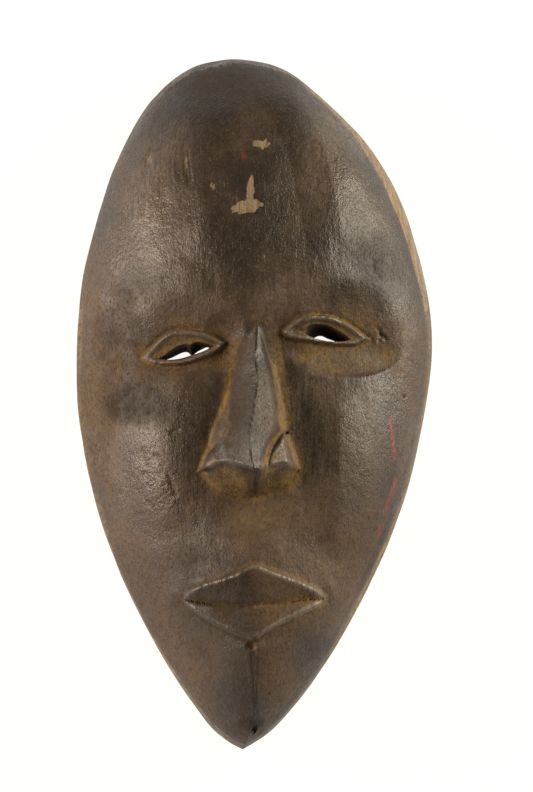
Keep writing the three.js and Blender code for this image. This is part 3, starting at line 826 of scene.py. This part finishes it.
# where ochre dust lies thick: centre, reaches, amount, how soon it thins out
DUST_SPOTS = [
    (-25, 15, 21, 12.5, 0.62, 0.7), (31, 17, 22.5, 15, 0.62, 0.6), (-7, -30.5, 11, 7.5, 1.0, 0.3),
    (7, -29.6, 10.5, 7, 1.5, 0.3), (-0.2, -85.6, 4, 2.4, 0.8, 0.4), (1.5, -47, 16, 16, 0.3, 0.8),
    (-0.8, -87.8, 4, 3, 0.8, 0.6), (-59, -8, 8, 34, 0.4, 0.8), (0.5, -118.4, 3.4, 1.8, 0.8, 0.7),
    (3, 24, 6, 7, 0.5, 0.7),
]
# and lines of it: path, half width, fade, amount
DUST_LINES = [
    ([(6.6, 19), (8.2, 11), (9.2, 4), (9.6, -3), (10, -11)], 1.3, 2.2, 0.72),
    ([(-4, 18), (-6.4, 11), (-8.6, 3), (-9.4, -5), (-10, -13)], 0.7, 2.6, 0.5),
    ([(11.3, -14.6), (8.4, -17), (5.4, -20), (3.4, -26)], 0.6, 1.5, 0.8),
    ([(-12, -14.8), (-10.2, -17.6), (-9, -20)], 0.2, 2.6, 0.75),
    ([(-18.4, -27), (-16, -21.5), (-12.6, -17)], 0.4, 1.6, 0.75),
    ([(17, -28), (14.8, -21.5), (12.4, -15)], 0.5, 1.6, 0.75),
    (MOUTH["line"], 0.7, 2.6, 0.62),
]


def dust_on(x, y, ring, fine, broad):
    """Ochre dust: where it lies thick, and wherever the carving has an inner corner."""
    spots = [spot(place, x, y, place[5]) for place in DUST_SPOTS]
    lines = [amount * near(x, y, path, full, fade) for path, full, fade, amount in DUST_LINES]
    on_lid = strongest(hump(-0.3, 0.2, 0.9, 1.7, inside(lid, x, y)) for lid in (LEFT_LID, RIGHT_LID))
    dust = strongest(spots + lines) * (1 - 0.75 * on_lid)
    corner = np.clip(fine * 2.0, 0, 0.6) + np.clip(broad * 0.45, 0, 0.4)
    clean = np.clip(-fine * 3.0, 0, 1) + np.clip(-broad * 0.6, 0, 0.8)
    blotch = rough(x / 5, y / 6, 21)
    dust = dust * (0.5 + 0.8 * blotch) + corner * (0.5 + 0.6 * blotch) * smooth(1, 0.94, ring)
    return np.clip(dust - clean * 0.9, 0, 1)


# where the thin brown film is heavier than elsewhere, or rubbed away: centre, reaches, amount
FILM = [
    (-21, -12, 12, 20, -0.35), (22, -8, 12, 26, -0.4), (-38, -30, 13, 22, -0.25), (40, -10, 12, 26, -0.2),
    (-14, -52, 12, 12, -0.2), (0, 70, 22, 60, -0.1), (4.5, -8, 6.5, 26, -0.5), (-2.5, -10, 3, 22, -0.3),
    (10, -23, 5, 6, -0.3), (-58, 10, 12, 60, 0.3), (-36, -84, 16, 40, 0.25), (-6, -6, 5, 24, 0.5),
    (-25, 17, 28, 19, 0.3), (30, 20, 28, 20, 0.3), (-52, -8, 12, 26, 0.3), (2, -46, 20, 18, 0.25),
    (55, 12, 10, 22, 0.25), (-30, 36, 22, 10, 0.2), (20, -42, 22, 16, 0.15),
]


def film_on(x, y, ring):
    """The thin brown film: heavy on the lower half and along the outline, thin on the forehead."""
    film = 0.02 + 0.42 * smooth(48, 16, y) + 0.34 * smooth(-34, -56, y) + 0.3 * smooth(0.84, 0.98, ring)
    return np.clip(film + spots_over(FILM, x, y, 0.7), 0, 1)


# where the colour is deeper than elsewhere, partly a deeper patina and partly painted shade: centre, reaches,
# amount
DARK_PATINA_AND_SHADE = [
    (-8, 114, 36, 18, 0.8), (-8, 120, 34, 8, 0.8), (-24, 112, 12, 12, 0.5), (-36, 98, 12, 12, 0.6),
    (4, 70, 12, 22, 0.5), (-2, 71, 9, 12, 0.5), (33, 64, 8, 10, 0.4), (36, 54, 13, 14, 0.4),
    (38, 42, 12, 8, 0.6), (45, 44, 8, 12, 0.4), (49, 34, 9, 9, 0.5), (-40, 42, 11, 11, 0.6),
    (-30, 40, 20, 9, 0.3), (-47, 26, 10, 12, 0.4), (-38, 24, 16, 10, 0.4), (-36, 19, 11, 7, 0.35),
    (-54, 8, 12, 26, 0.35), (-40, 0, 10, 8, 0.6), (-42.3, -3.6, 11, 7.6, 1.25), (-52, -24, 9, 22, 0.3),
    (24, 20, 6, 5, 0.4), (-0.8, 20, 5, 7, 0.5), (1.2, 15, 7.6, 11, 1.15), (-3.9, -6.8, 5.3, 24.6, 1.45),
    (2, -8, 6, 24, 0.2), (34, -12, 6, 22, 0.35), (45, 0, 8, 12, 0.4), (44, -8, 9, 10, 0.4),
    (-25, -18, 6, 10, 0.5), (-4, -22, 9, 10, 0.6), (-8, -21, 7, 6, 0.9), (-16, -42, 8, 10, 0.4),
    (43, -50, 12, 26, 0.5), (-24, -56, 16, 12, 0.3), (-8, -60, 8, 6, 0.5), (-34, -62, 18, 26, 0.5),
    (-8, -71, 12, 6, 0.5), (-22, -72, 10, 22, 0.35), (-10, -79, 16, 6, 0.3), (-12, -80, 18, 34, 0.45),
    (-4, -86, 8, 5, 0.5), (20, -88, 12, 16, 0.3), (24, -90, 8, 8, 0.4), (20, -96, 10, 14, 0.4),
    (-6, -99, 8, 14, 0.5), (8, -112, 14, 12, 0.4), (-8, -112, 12, 14, 0.7),
]
# where the colour is lighter, partly a lighter patina and partly a painted highlight
PALER_PATINA_AND_HIGHLIGHT = [
    (8, 116, 10, 8, 0.5), (30, 92, 12, 14, 0.4), (-31, 88, 10, 12, 0.5), (26, 80, 16, 26, 0.3),
    (24, 80, 8, 18, 0.5), (-37, 70, 11, 14, 0.9), (-33, 62, 20, 44, 0.3), (-50, 52, 6, 14, 0.5),
    (18, 34, 22, 16, 0.4), (14, 32, 14, 10, 0.5), (4, 30, 12, 8, 0.4), (-16, 26, 8, 10, 0.4),
    (36, 20, 8, 6, 0.5), (30, 14, 14, 12, 0.4), (22, -12, 14, 32, 1.0), (14, -14, 14, 24, 0.4),
    (-22, -12, 10, 24, 0.2), (-24, -20, 5, 10, 0.5), (56, -12, 7, 14, 0.5), (-57, -16, 6, 14, 0.9),
    (7, -30, 9, 7, 1.0), (14, -36, 14, 22, 0.6), (22, -40, 12, 14, 0.6), (12, -67, 12, 5, 0.4),
    (10, -70, 10, 6, 0.5), (10, -79, 10, 6, 0.4), (2, -101, 5, 8, 0.4),
]
# where handling has polished it
POLISHED = [
    (36, 76, 13, 40, 0.7), (-38, 68, 9, 14, 1.0), (-22, 60, 10, 30, 0.3), (-43, 58, 15, 42, 0.8),
    (-46, 45, 9, 10, 1.0), (40, -6, 11, 28, 0.2), (50, -6, 8, 24, 0.4), (-42, -24, 9, 15, 1.0),
    (-34, -36, 7, 16, 0.8), (-32, -52, 7, 8, 0.9), (-8, -102, 6, 12, 0.7),
]
# and where it is dull
DULL = [
    (-8, 118, 36, 12, 1.0), (38, 54, 11, 12, 0.5), (44, 44, 12, 14, 0.8), (-42, 40, 12, 10, 0.8),
    (-24, 34, 16, 10, 0.3), (-48, 24, 12, 15, 0.9), (-42, 2, 15, 14, 0.9), (-39, -6, 13, 8, 1.0),
    (30, 2, 12, 10, 0.4), (-56, -4, 8, 30, 0.5), (4, -8, 5, 24, 0.8), (-6, -12, 8, 20, 0.8),
    (40, -50, 12, 20, 0.4), (-20, -56, 15, 10, 0.6), (0, -78, 24, 10, 1.0), (9, -100, 9, 16, 0.4),
]
# dark lines along creases and edges, partly dirt and partly painted shade: path, half width, amount
GRIME_AND_SHADE_LINES = [
    ([(-1.6, 19), (-2.2, 5), (-3.4, -8), (-4.6, -20), (-3.6, -26)], 1.5, 0.75),
    ([(-0.6, -88), (0, -99), (0.5, -107), (1.3, -114)], 0.55, 1.0),
    ([(-1, -28.5), (-1, -36)], 0.8, 0.6),
    ([(-12, -16), (-13.4, -7), (-11.4, 3)], 1.4, 0.5),
    ([(-9, -67), (-1, -64.6)], 0.8, 0.6),
    ([(-22, -77), (-12, -82), (-2, -85.4)], 0.6, 0.6),
    ([(5, -83.4), (14, -80)], 0.6, 0.4),
]
# strokes of faint red: from, to
RED_MARKS = [
    [(47.8, -8.5), (49.8, -22.5)], [(50.2, -29.6), (46, -42)], [(44.9, -46.6), (44.4, -49)],
    [(-3.6, 84.4), (-3.4, 83)],
]
# the pale edge of the face: y, how wide it is, how bare the wood is there
RIGHT_EDGE = [
    (-125, 1.2, 0.5), (-64, 2.2, 0.54), (-22, 1.4, 0.46), (0, 1.4, 0.46), (33, 3.4, 0.48), (47, 4.8, 0.58),
    (61, 5.6, 0.64), (75, 6, 0.68), (89, 5, 0.68), (99, 3.6, 0.66), (112, 3, 0.6), (125, 0.5, 0.5),
]
LEFT_EDGE = [
    (-125, 1.4, 0.5), (-71, 2, 0.5), (-36, 2.4, 0.47), (0, 2.2, 0.46), (33, 2.6, 0.47), (60, 1.8, 0.44),
    (125, 0.4, 0.4),
]


def rubbed_edge(x, y):
    """How bare the wood is along the outline, and the grime on the face just inside it."""
    across = x - POLE
    inset = reach_at(across, y) - np.hypot(across, y)
    right = x > 8
    width, bareness = (np.where(right, rows(RIGHT_EDGE, k, y), rows(LEFT_EDGE, k, y)) for k in (1, 2))
    beyond = inset - width
    darkening = np.where(right, 0.6, 0.3) * np.exp(-((beyond - 1.2) / 0.8) ** 2)
    return bareness * smooth(0.4, -0.4, beyond), darkening


# dark lines of dirt and painted shade along creases and edges
def grime_and_shade_on(x, y):
    lines = []
    for path, half, amount in GRIME_AND_SHADE_LINES:
        away, along = from_path(path, x, y)
        lines.append(amount * hump(0, 0.12, 0.88, 1, along) * np.exp(-(away / half) ** 2))
    return strongest(lines)


def rubbed_and_highlit_rims_on(x, y, fine):
    """Rubbed edges of the lids, the lips and the nose's end, lighter in colour as a painted highlight."""
    rims = [hump(-0.8, -0.1, 1.3, 2.4, inside(shape, x, y)) for shape in (LEFT_LID, RIGHT_LID, MOUTH)]
    nose_edge = near(x, y, NOSE_END[2:7], 0.7, 0.7)
    return np.clip(-fine * 5 - 0.1, 0, 1) * strongest(rims + [nose_edge])


def shade_in_holes_on(x, y):
    """Painted shade inside the deeper pits, and the notch at the chin darkened."""
    shade_in_holes = 0.8 * smooth(1.25, 0.9, np.hypot((x + 1) / 4.4, (y + 115.4) / 2.2)) * rough(x / 2, y / 2, 51)
    for centre, radius, _ in PITS[:DARK_PITS]:
        away = np.hypot(x - centre[0], y - centre[1])
        shade_in_holes = np.maximum(shade_in_holes, smooth(radius * 1.3, radius * 0.6, away))
    return shade_in_holes


def red_on(x, y):
    strokes = strongest(near(x, y, path, 0.3, 1.4) for path in RED_MARKS)
    return strokes * (0.35 + 0.65 * rough(x / 1.2, y / 2, 41))


def paint(block):
    """Stores on each point of the mesh what lies on the wood there, and where shade and highlights are
    painted, for the material to read.
    """
    mesh = block.data
    flat = np.empty(len(mesh.vertices) * 3)
    mesh.vertices.foreach_get("co", flat)
    x, y, z = (flat.reshape(-1, 3) / MM).T
    ring = ring_of(x, y)
    x_axis, y_axis, hollows = relief_maps()
    fine, broad = (read_map(x_axis, y_axis, field, x, y) for field in hollows)

    # which part of the block each point is on
    below = face(x, y, ring) - z
    on_band = smooth(EDGE_HEIGHT + 1.5, EDGE_HEIGHT - 1, z)
    on_face = ((below < NEAR_FACE) | (ring > OUTER_RING)) & (z > EDGE_HEIGHT - 0.01)
    hollow_edge = np.interp(bearing(x - POLE, y), RIM_ANGLES, HOLLOW_REACHES)
    behind = (np.hypot(x - POLE, y) < hollow_edge + 0.8) & (z < plain_roof(y, ring) + 1.6) & ~on_face
    in_slit = ~on_face & ~behind & (np.abs(y - 16) < 12) & (z > 20)
    under = z < 0.6

    rubbed, edge_grime = rubbed_edge(x, y)
    patchy = 0.3 * (rough(x / 9, y / 9 + z / 6, 31) - 0.5)
    along_edge = np.maximum(on_band, on_face) * (rubbed + patchy * (rubbed > 0.05))
    bare = np.maximum(chip_mask(x, y)[0] * on_face, along_edge)
    dust = dust_on(x, y, ring, fine, broad) * (1 - 0.6 * on_band) * on_face
    # deeper patina, dirt lines, the band inside the edge and painted shade, all in one mark
    patina_grime_and_shade = np.clip(spots_over(DARK_PATINA_AND_SHADE, x, y) + grime_and_shade_on(x, y) + edge_grime, 0, 1)
    values = {
        "behind": behind,
        "bare": np.where(under, 0.6, bare),
        "dust": np.where(in_slit, np.clip(0.6 - below / 5, 0, 1), dust),
        "film": np.where(on_face, film_on(x, y, ring), 0.5),
        "wear_and_highlight": rubbed_and_highlit_rims_on(x, y, fine) * on_face,
        "polish": strongest(spot(place, x, y, 0.6) for place in POLISHED) * on_face,
        "dull": np.clip(spots_over(DULL, x, y), 0, 1) * on_face,
        "patina_grime_and_shade": np.where(on_face, patina_grime_and_shade, 0.3),
        "paler_patina_and_highlight": np.clip(spots_over(PALER_PATINA_AND_HIGHLIGHT, x, y), 0, 1) * on_face,
        # painted shade inside the slits, deepening further in, and in the pits
        "shade_in_holes": np.maximum(np.where(in_slit, smooth(0.8, 4.5, below), 0), shade_in_holes_on(x, y) * on_face),
        "red": red_on(x, y) * on_face,
    }
    for name, value in values.items():
        layer = mesh.attributes.new(name, "FLOAT", "POINT")
        layer.data.foreach_set("value", value.astype(np.float32))


# Materials

def colour(code):
    """A hex colour as the linear values that the nodes take."""
    parts = [int(code[i:i + 2], 16) / 255 for i in (1, 3, 5)]
    return tuple(c / 12.92 if c <= 0.04045 else ((c + 0.055) / 1.055) ** 2.4 for c in parts) + (1.0,)


class Nodes:
    """Short ways to add and join the nodes of one material."""

    def __init__(self, name):
        self.material = bpy.data.materials.new(name)
        self.material.use_nodes = True
        self.tree = self.material.node_tree
        self.shader = self.tree.nodes["Principled BSDF"]

    def join(self, value, socket):
        if isinstance(value, bpy.types.NodeSocket):
            self.tree.links.new(value, socket)
        else:
            socket.default_value = value

    def math(self, kind, a, b=0.0, c=None, clamp=False):
        node = self.tree.nodes.new("ShaderNodeMath")
        node.operation = kind
        node.use_clamp = clamp
        self.join(a, node.inputs[0])
        self.join(b, node.inputs[1])
        if c is not None:
            self.join(c, node.inputs[2])
        return node.outputs[0]

    def span(self, value, low, high, out_low=0.0, out_high=1.0):
        node = self.tree.nodes.new("ShaderNodeMapRange")
        node.interpolation_type = "SMOOTHSTEP"
        names = ("Value", "From Min", "From Max", "To Min", "To Max")
        for name, v in zip(names, (value, low, high, out_low, out_high)):
            self.join(v, node.inputs[name])
        return node.outputs["Result"]

    def mix(self, share, a, b, kind="MIX"):
        node = self.tree.nodes.new("ShaderNodeMix")
        node.data_type = "RGBA"
        node.blend_type = kind
        self.join(share, node.inputs[0])
        self.join(a, node.inputs[6])
        self.join(b, node.inputs[7])
        return node.outputs[2]

    def add(self, total, *parts):
        """The total plus each value times its weight."""
        for value, weight in parts:
            total = self.math("MULTIPLY_ADD", value, weight, total)
        return total

    def stir(self, share, *noises):
        """The share moved up and down by each noise, which is 0.5 on average, times its weight."""
        return self.add(share, *((self.math("SUBTRACT", noise, 0.5), weight) for noise, weight in noises))

    def attribute(self, name):
        node = self.tree.nodes.new("ShaderNodeAttribute")
        node.attribute_name = name
        return node.outputs["Fac"]

    def place(self, scale=(1.0, 1.0, 1.0)):
        """Object coordinates in millimetres, divided by the scale."""
        where = self.tree.nodes.new("ShaderNodeTexCoord")
        node = self.tree.nodes.new("ShaderNodeMapping")
        node.inputs["Scale"].default_value = [1 / (MM * s) for s in scale]
        self.tree.links.new(where.outputs["Object"], node.inputs["Vector"])
        return node.outputs[0]

    def noise(self, size, detail=3.0, roughness=0.55, warp=0.0):
        node = self.tree.nodes.new("ShaderNodeTexNoise")
        node.inputs["Scale"].default_value = 1.0
        node.inputs["Detail"].default_value = detail
        node.inputs["Roughness"].default_value = roughness
        node.inputs["Distortion"].default_value = warp
        size = size if isinstance(size, tuple) else (size, size, size)
        self.tree.links.new(self.place(size), node.inputs["Vector"])
        return node.outputs["Fac"]

    def bump(self, height, distance, normal=None):
        node = self.tree.nodes.new("ShaderNodeBump")
        node.inputs["Strength"].default_value = 1.0
        node.inputs["Distance"].default_value = distance
        self.join(height, node.inputs["Height"])
        if normal is not None:
            self.tree.links.new(normal, node.inputs["Normal"])
        return node.outputs[0]


# how far each noise stands out, in millimetres
FINE_RELIEF = [
    ("streak", 0.08), ("pore", 0.05), ("fleck", 0.1), ("speck", 0.14), ("mottle", 0.2), ("cloud", 0.4),
]


def wood_noises(n):
    """The noises that colour, gloss and relief share."""
    return {
        "blotch": n.noise((22, 30, 22), 4.0, 0.6),
        "streak": n.noise((0.9, 15, 4), 3.0, 0.6, 0.4),
        "fleck": n.noise(0.75, 3.0, 0.7),
        "pore": n.noise((0.35, 2.4, 0.35), 2.0, 0.5),
        "cloud": n.noise(7.0, 4.0, 0.65),
        "mottle": n.noise((1.8, 2.6, 1.8), 3.0, 0.7),
        "speck": n.noise((0.7, 1.1, 0.7), 3.0, 0.75),
        "stain": n.noise((11, 15, 11), 6.0, 0.7),
        "line": n.noise((1.3, 22, 5), 4.0, 0.6, 0.6),
    }


def film_share(n, noise):
    film = n.stir(n.attribute("film"), (noise["blotch"], 1.0), (noise["cloud"], 1.3), (noise["mottle"], 0.8),
                  (noise["fleck"], 0.6), (noise["streak"], 0.3))
    return n.span(film, 0.05, 1.05)


def dust_share(n, noise):
    dust = n.stir(n.attribute("dust"), (noise["cloud"], 0.9), (noise["fleck"], 0.5), (noise["streak"], 0.3))
    return n.span(dust, 0.08, 1.0)


def patina_and_highlight_colour(n, noise, film):
    """The dark skin of the wood, under its thin brown film, lightened in places by patina and by painted
    highlights.
    """
    skin = n.mix(n.span(noise["blotch"], 0.38, 0.64), colour("#281f18"), colour("#3a2f23"))
    # lighter patina and painted highlights mixed in
    skin = n.mix(n.math("MULTIPLY", n.attribute("paler_patina_and_highlight"), 0.6), skin, colour("#6c5f50"))
    skin = n.mix(n.span(noise["streak"], 0.35, 0.7, 0.0, 0.5), skin, colour("#1e1812"))
    skin = n.mix(n.span(noise["fleck"], 0.54, 0.74, 0.0, 0.5), skin, colour("#6e5a46"))
    skin = n.mix(n.span(noise["speck"], 0.54, 0.7, 0.0, 0.75), skin, colour("#15100c"))
    tinge = n.mix(n.span(noise["stain"], 0.36, 0.64), colour("#4a3927"), colour("#513f27"))
    return n.mix(n.math("MULTIPLY", film, 0.85), skin, tinge)


def soiled_and_painted_light(n, noise, skin, wear_and_highlight, dust):
    """The skin with its rubbed edges and the painted highlight on them, ochre dust, red marks, and deeper
    patina, dirt and painted shade.
    """
    # rubbed rims, painted lighter grey as a highlight
    skin = n.mix(n.math("MULTIPLY", wear_and_highlight, 0.55), skin, colour("#797064"))
    ochre = n.mix(n.span(noise["cloud"], 0.35, 0.7), colour("#564123"), colour("#6f5a31"))
    ochre = n.mix(n.span(noise["fleck"], 0.5, 0.75, 0.0, 0.6), ochre, colour("#7f6942"))
    skin = n.mix(n.math("MULTIPLY", dust, 0.85), skin, ochre)
    red = n.span(n.attribute("red"), 0.25, 0.7)
    skin = n.mix(n.math("MULTIPLY", red, 0.75), skin, colour("#6e2a1c"))
    skin = n.mix(n.span(noise["speck"], 0.48, 0.7, 0.0, 0.6), skin, colour("#8a8278"), "MULTIPLY")
    skin = n.mix(n.span(noise["mottle"], 0.46, 0.72, 0.0, 0.6), skin, colour("#8a8278"), "MULTIPLY")
    # painted shade, with deeper patina and dirt: the mix towards near black
    darkening = n.span(n.stir(n.attribute("patina_grime_and_shade"), (noise["mottle"], 0.6)), 0.0, 1.0)
    return n.mix(n.math("MULTIPLY", darkening, 0.75), skin, colour("#1d150f"))


def bare_wood(n, noise):
    wood = n.mix(n.span(noise["line"], 0.32, 0.68), colour("#5b4d38"), colour("#7c6d54"))
    return n.mix(n.span(noise["pore"], 0.55, 0.7, 0.0, 0.6), wood, colour("#5b4430"))


def tooled_wood(n, noise):
    """The plainer wood of the hollow."""
    wood = n.mix(n.span(noise["line"], 0.3, 0.7), colour("#46372a"), colour("#65513c"))
    return n.mix(n.span(noise["cloud"], 0.4, 0.7, 0.0, 0.6), wood, colour("#382b1f"))


def carved_wood():
    n = Nodes("carved_wood")
    noise = wood_noises(n)
    film = film_share(n, noise)
    dust = dust_share(n, noise)
    wear_and_highlight = n.math("MULTIPLY", n.attribute("wear_and_highlight"), n.span(noise["cloud"], 0.3, 0.6, 0.45, 1.0))
    bare = n.span(n.stir(n.attribute("bare"), (noise["fleck"], 0.7)), 0.38, 0.62)
    behind = n.attribute("behind")
    shade_in_holes = n.attribute("shade_in_holes")

    skin = soiled_and_painted_light(n, noise, patina_and_highlight_colour(n, noise, film), wear_and_highlight, dust)
    skin = n.mix(bare, skin, bare_wood(n, noise))
    skin = n.mix(behind, skin, tooled_wood(n, noise))
    # painted shade in the slits and pits, near black brown
    skin = n.mix(shade_in_holes, skin, colour("#22150a"))
    n.join(skin, n.shader.inputs["Base Color"])
    n.shader.inputs["Specular IOR Level"].default_value = 0.42

    gloss = n.span(noise["cloud"], 0.3, 0.7, 0.27, 0.38)
    gloss = n.math("ADD", gloss, n.span(noise["speck"], 0.46, 0.7, 0.0, 0.22))
    gloss = n.add(gloss, (n.attribute("polish"), -0.14), (n.attribute("dull"), 0.3), (film, 0.24),
                  (dust, 0.35), (bare, 0.3), (wear_and_highlight, -0.25), (shade_in_holes, 0.5), (behind, 0.35))
    n.join(n.math("ADD", gloss, clamp=True), n.shader.inputs["Roughness"])

    relief = None
    for name, height in FINE_RELIEF:
        relief = n.bump(noise[name], height * MM, relief)
    n.tree.links.new(relief, n.shader.inputs["Normal"])
    return n.material


def floor_white():
    n = Nodes("floor_white")
    n.shader.inputs["Base Color"].default_value = (0.08, 0.08, 0.08, 1)
    n.shader.inputs["Roughness"].default_value = 1.0
    n.shader.inputs["Specular IOR Level"].default_value = 0.0
    n.shader.inputs["Emission Color"].default_value = (1.0, 0.975, 0.93, 1)
    n.shader.inputs["Emission Strength"].default_value = 1.0
    return n.material


# The whole scene, in metres

FLOOR_SIDE = 4.4
FLOOR_GAP = 0.0002
# each softbox: name, place, size, power, tint; both point above the middle of the mask
SOFTBOXES = [
    ("left_softbox", (-1.0, 0.06, 0.36), (0.66, 0.6), 22.0, (1.0, 0.81, 0.64)),
    ("right_softbox", (1.0, 0.36, 0.4), (0.9, 0.7), 28.0, (1.0, 0.87, 0.7)),
]
LIGHT_TARGET = (0, 0, 0.12)
SKY_TINT = (1.0, 0.88, 0.72, 1)
SKY_STRENGTH = 0.2
CAMERA_DISTANCE = 1.3
CAMERA_TILT = 5.0
CAMERA_TARGET = (0.00449, 0.00203, 0.0)
CAMERA_LENS = 163.7


def build_mask():
    block = build_block()
    cut_slits(block)
    paint(block)
    mesh = block.data
    mesh.shade_smooth()
    mesh.set_sharp_from_angle(angle=math.radians(50))
    mesh.materials.clear()
    mesh.materials.append(carved_wood())
    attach(block, "root")
    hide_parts("mask")
    return block


def build_floor():
    half = FLOOR_SIDE / 2
    corners = [(x, y, -FLOOR_GAP) for x, y in ((-half, -half), (half, -half), (half, half), (-half, half))]
    floor = mesh_object("floor", np.array(corners), [[0, 1, 2, 3]])
    floor.data.materials.append(floor_white())


def area_light(name, place, size, power, tint):
    lamp = bpy.data.lights.new(name, "AREA")
    lamp.shape = "RECTANGLE"
    lamp.size, lamp.size_y = size
    lamp.energy = power
    lamp.color = tint
    light = bpy.data.objects.new(name, lamp)
    light.location = place
    light.rotation_euler = (Vector(LIGHT_TARGET) - Vector(place)).to_track_quat("-Z", "Y").to_euler()
    bpy.context.scene.collection.objects.link(light)


def build_light():
    for softbox in SOFTBOXES:
        area_light(*softbox)
    world = bpy.data.worlds.new("studio")
    world.use_nodes = True
    sky = world.node_tree.nodes["Background"]
    sky.inputs["Color"].default_value = SKY_TINT
    sky.inputs["Strength"].default_value = SKY_STRENGTH
    bpy.context.scene.world = world


def build_camera():
    data = bpy.data.cameras.new("camera")
    data.sensor_fit = "VERTICAL"
    data.sensor_height = 36
    data.lens = CAMERA_LENS
    camera = bpy.data.objects.new("camera", data)
    tilt = math.radians(CAMERA_TILT)
    away = Vector((0, -math.sin(tilt), math.cos(tilt))) * CAMERA_DISTANCE
    camera.location = Vector(CAMERA_TARGET) + away
    camera.rotation_euler = (tilt, 0, 0)
    bpy.context.scene.collection.objects.link(camera)
    bpy.context.scene.camera = camera


build_camera()
build_mask()
build_floor()
build_light()
bpy.context.scene.view_settings.view_transform = "Standard"
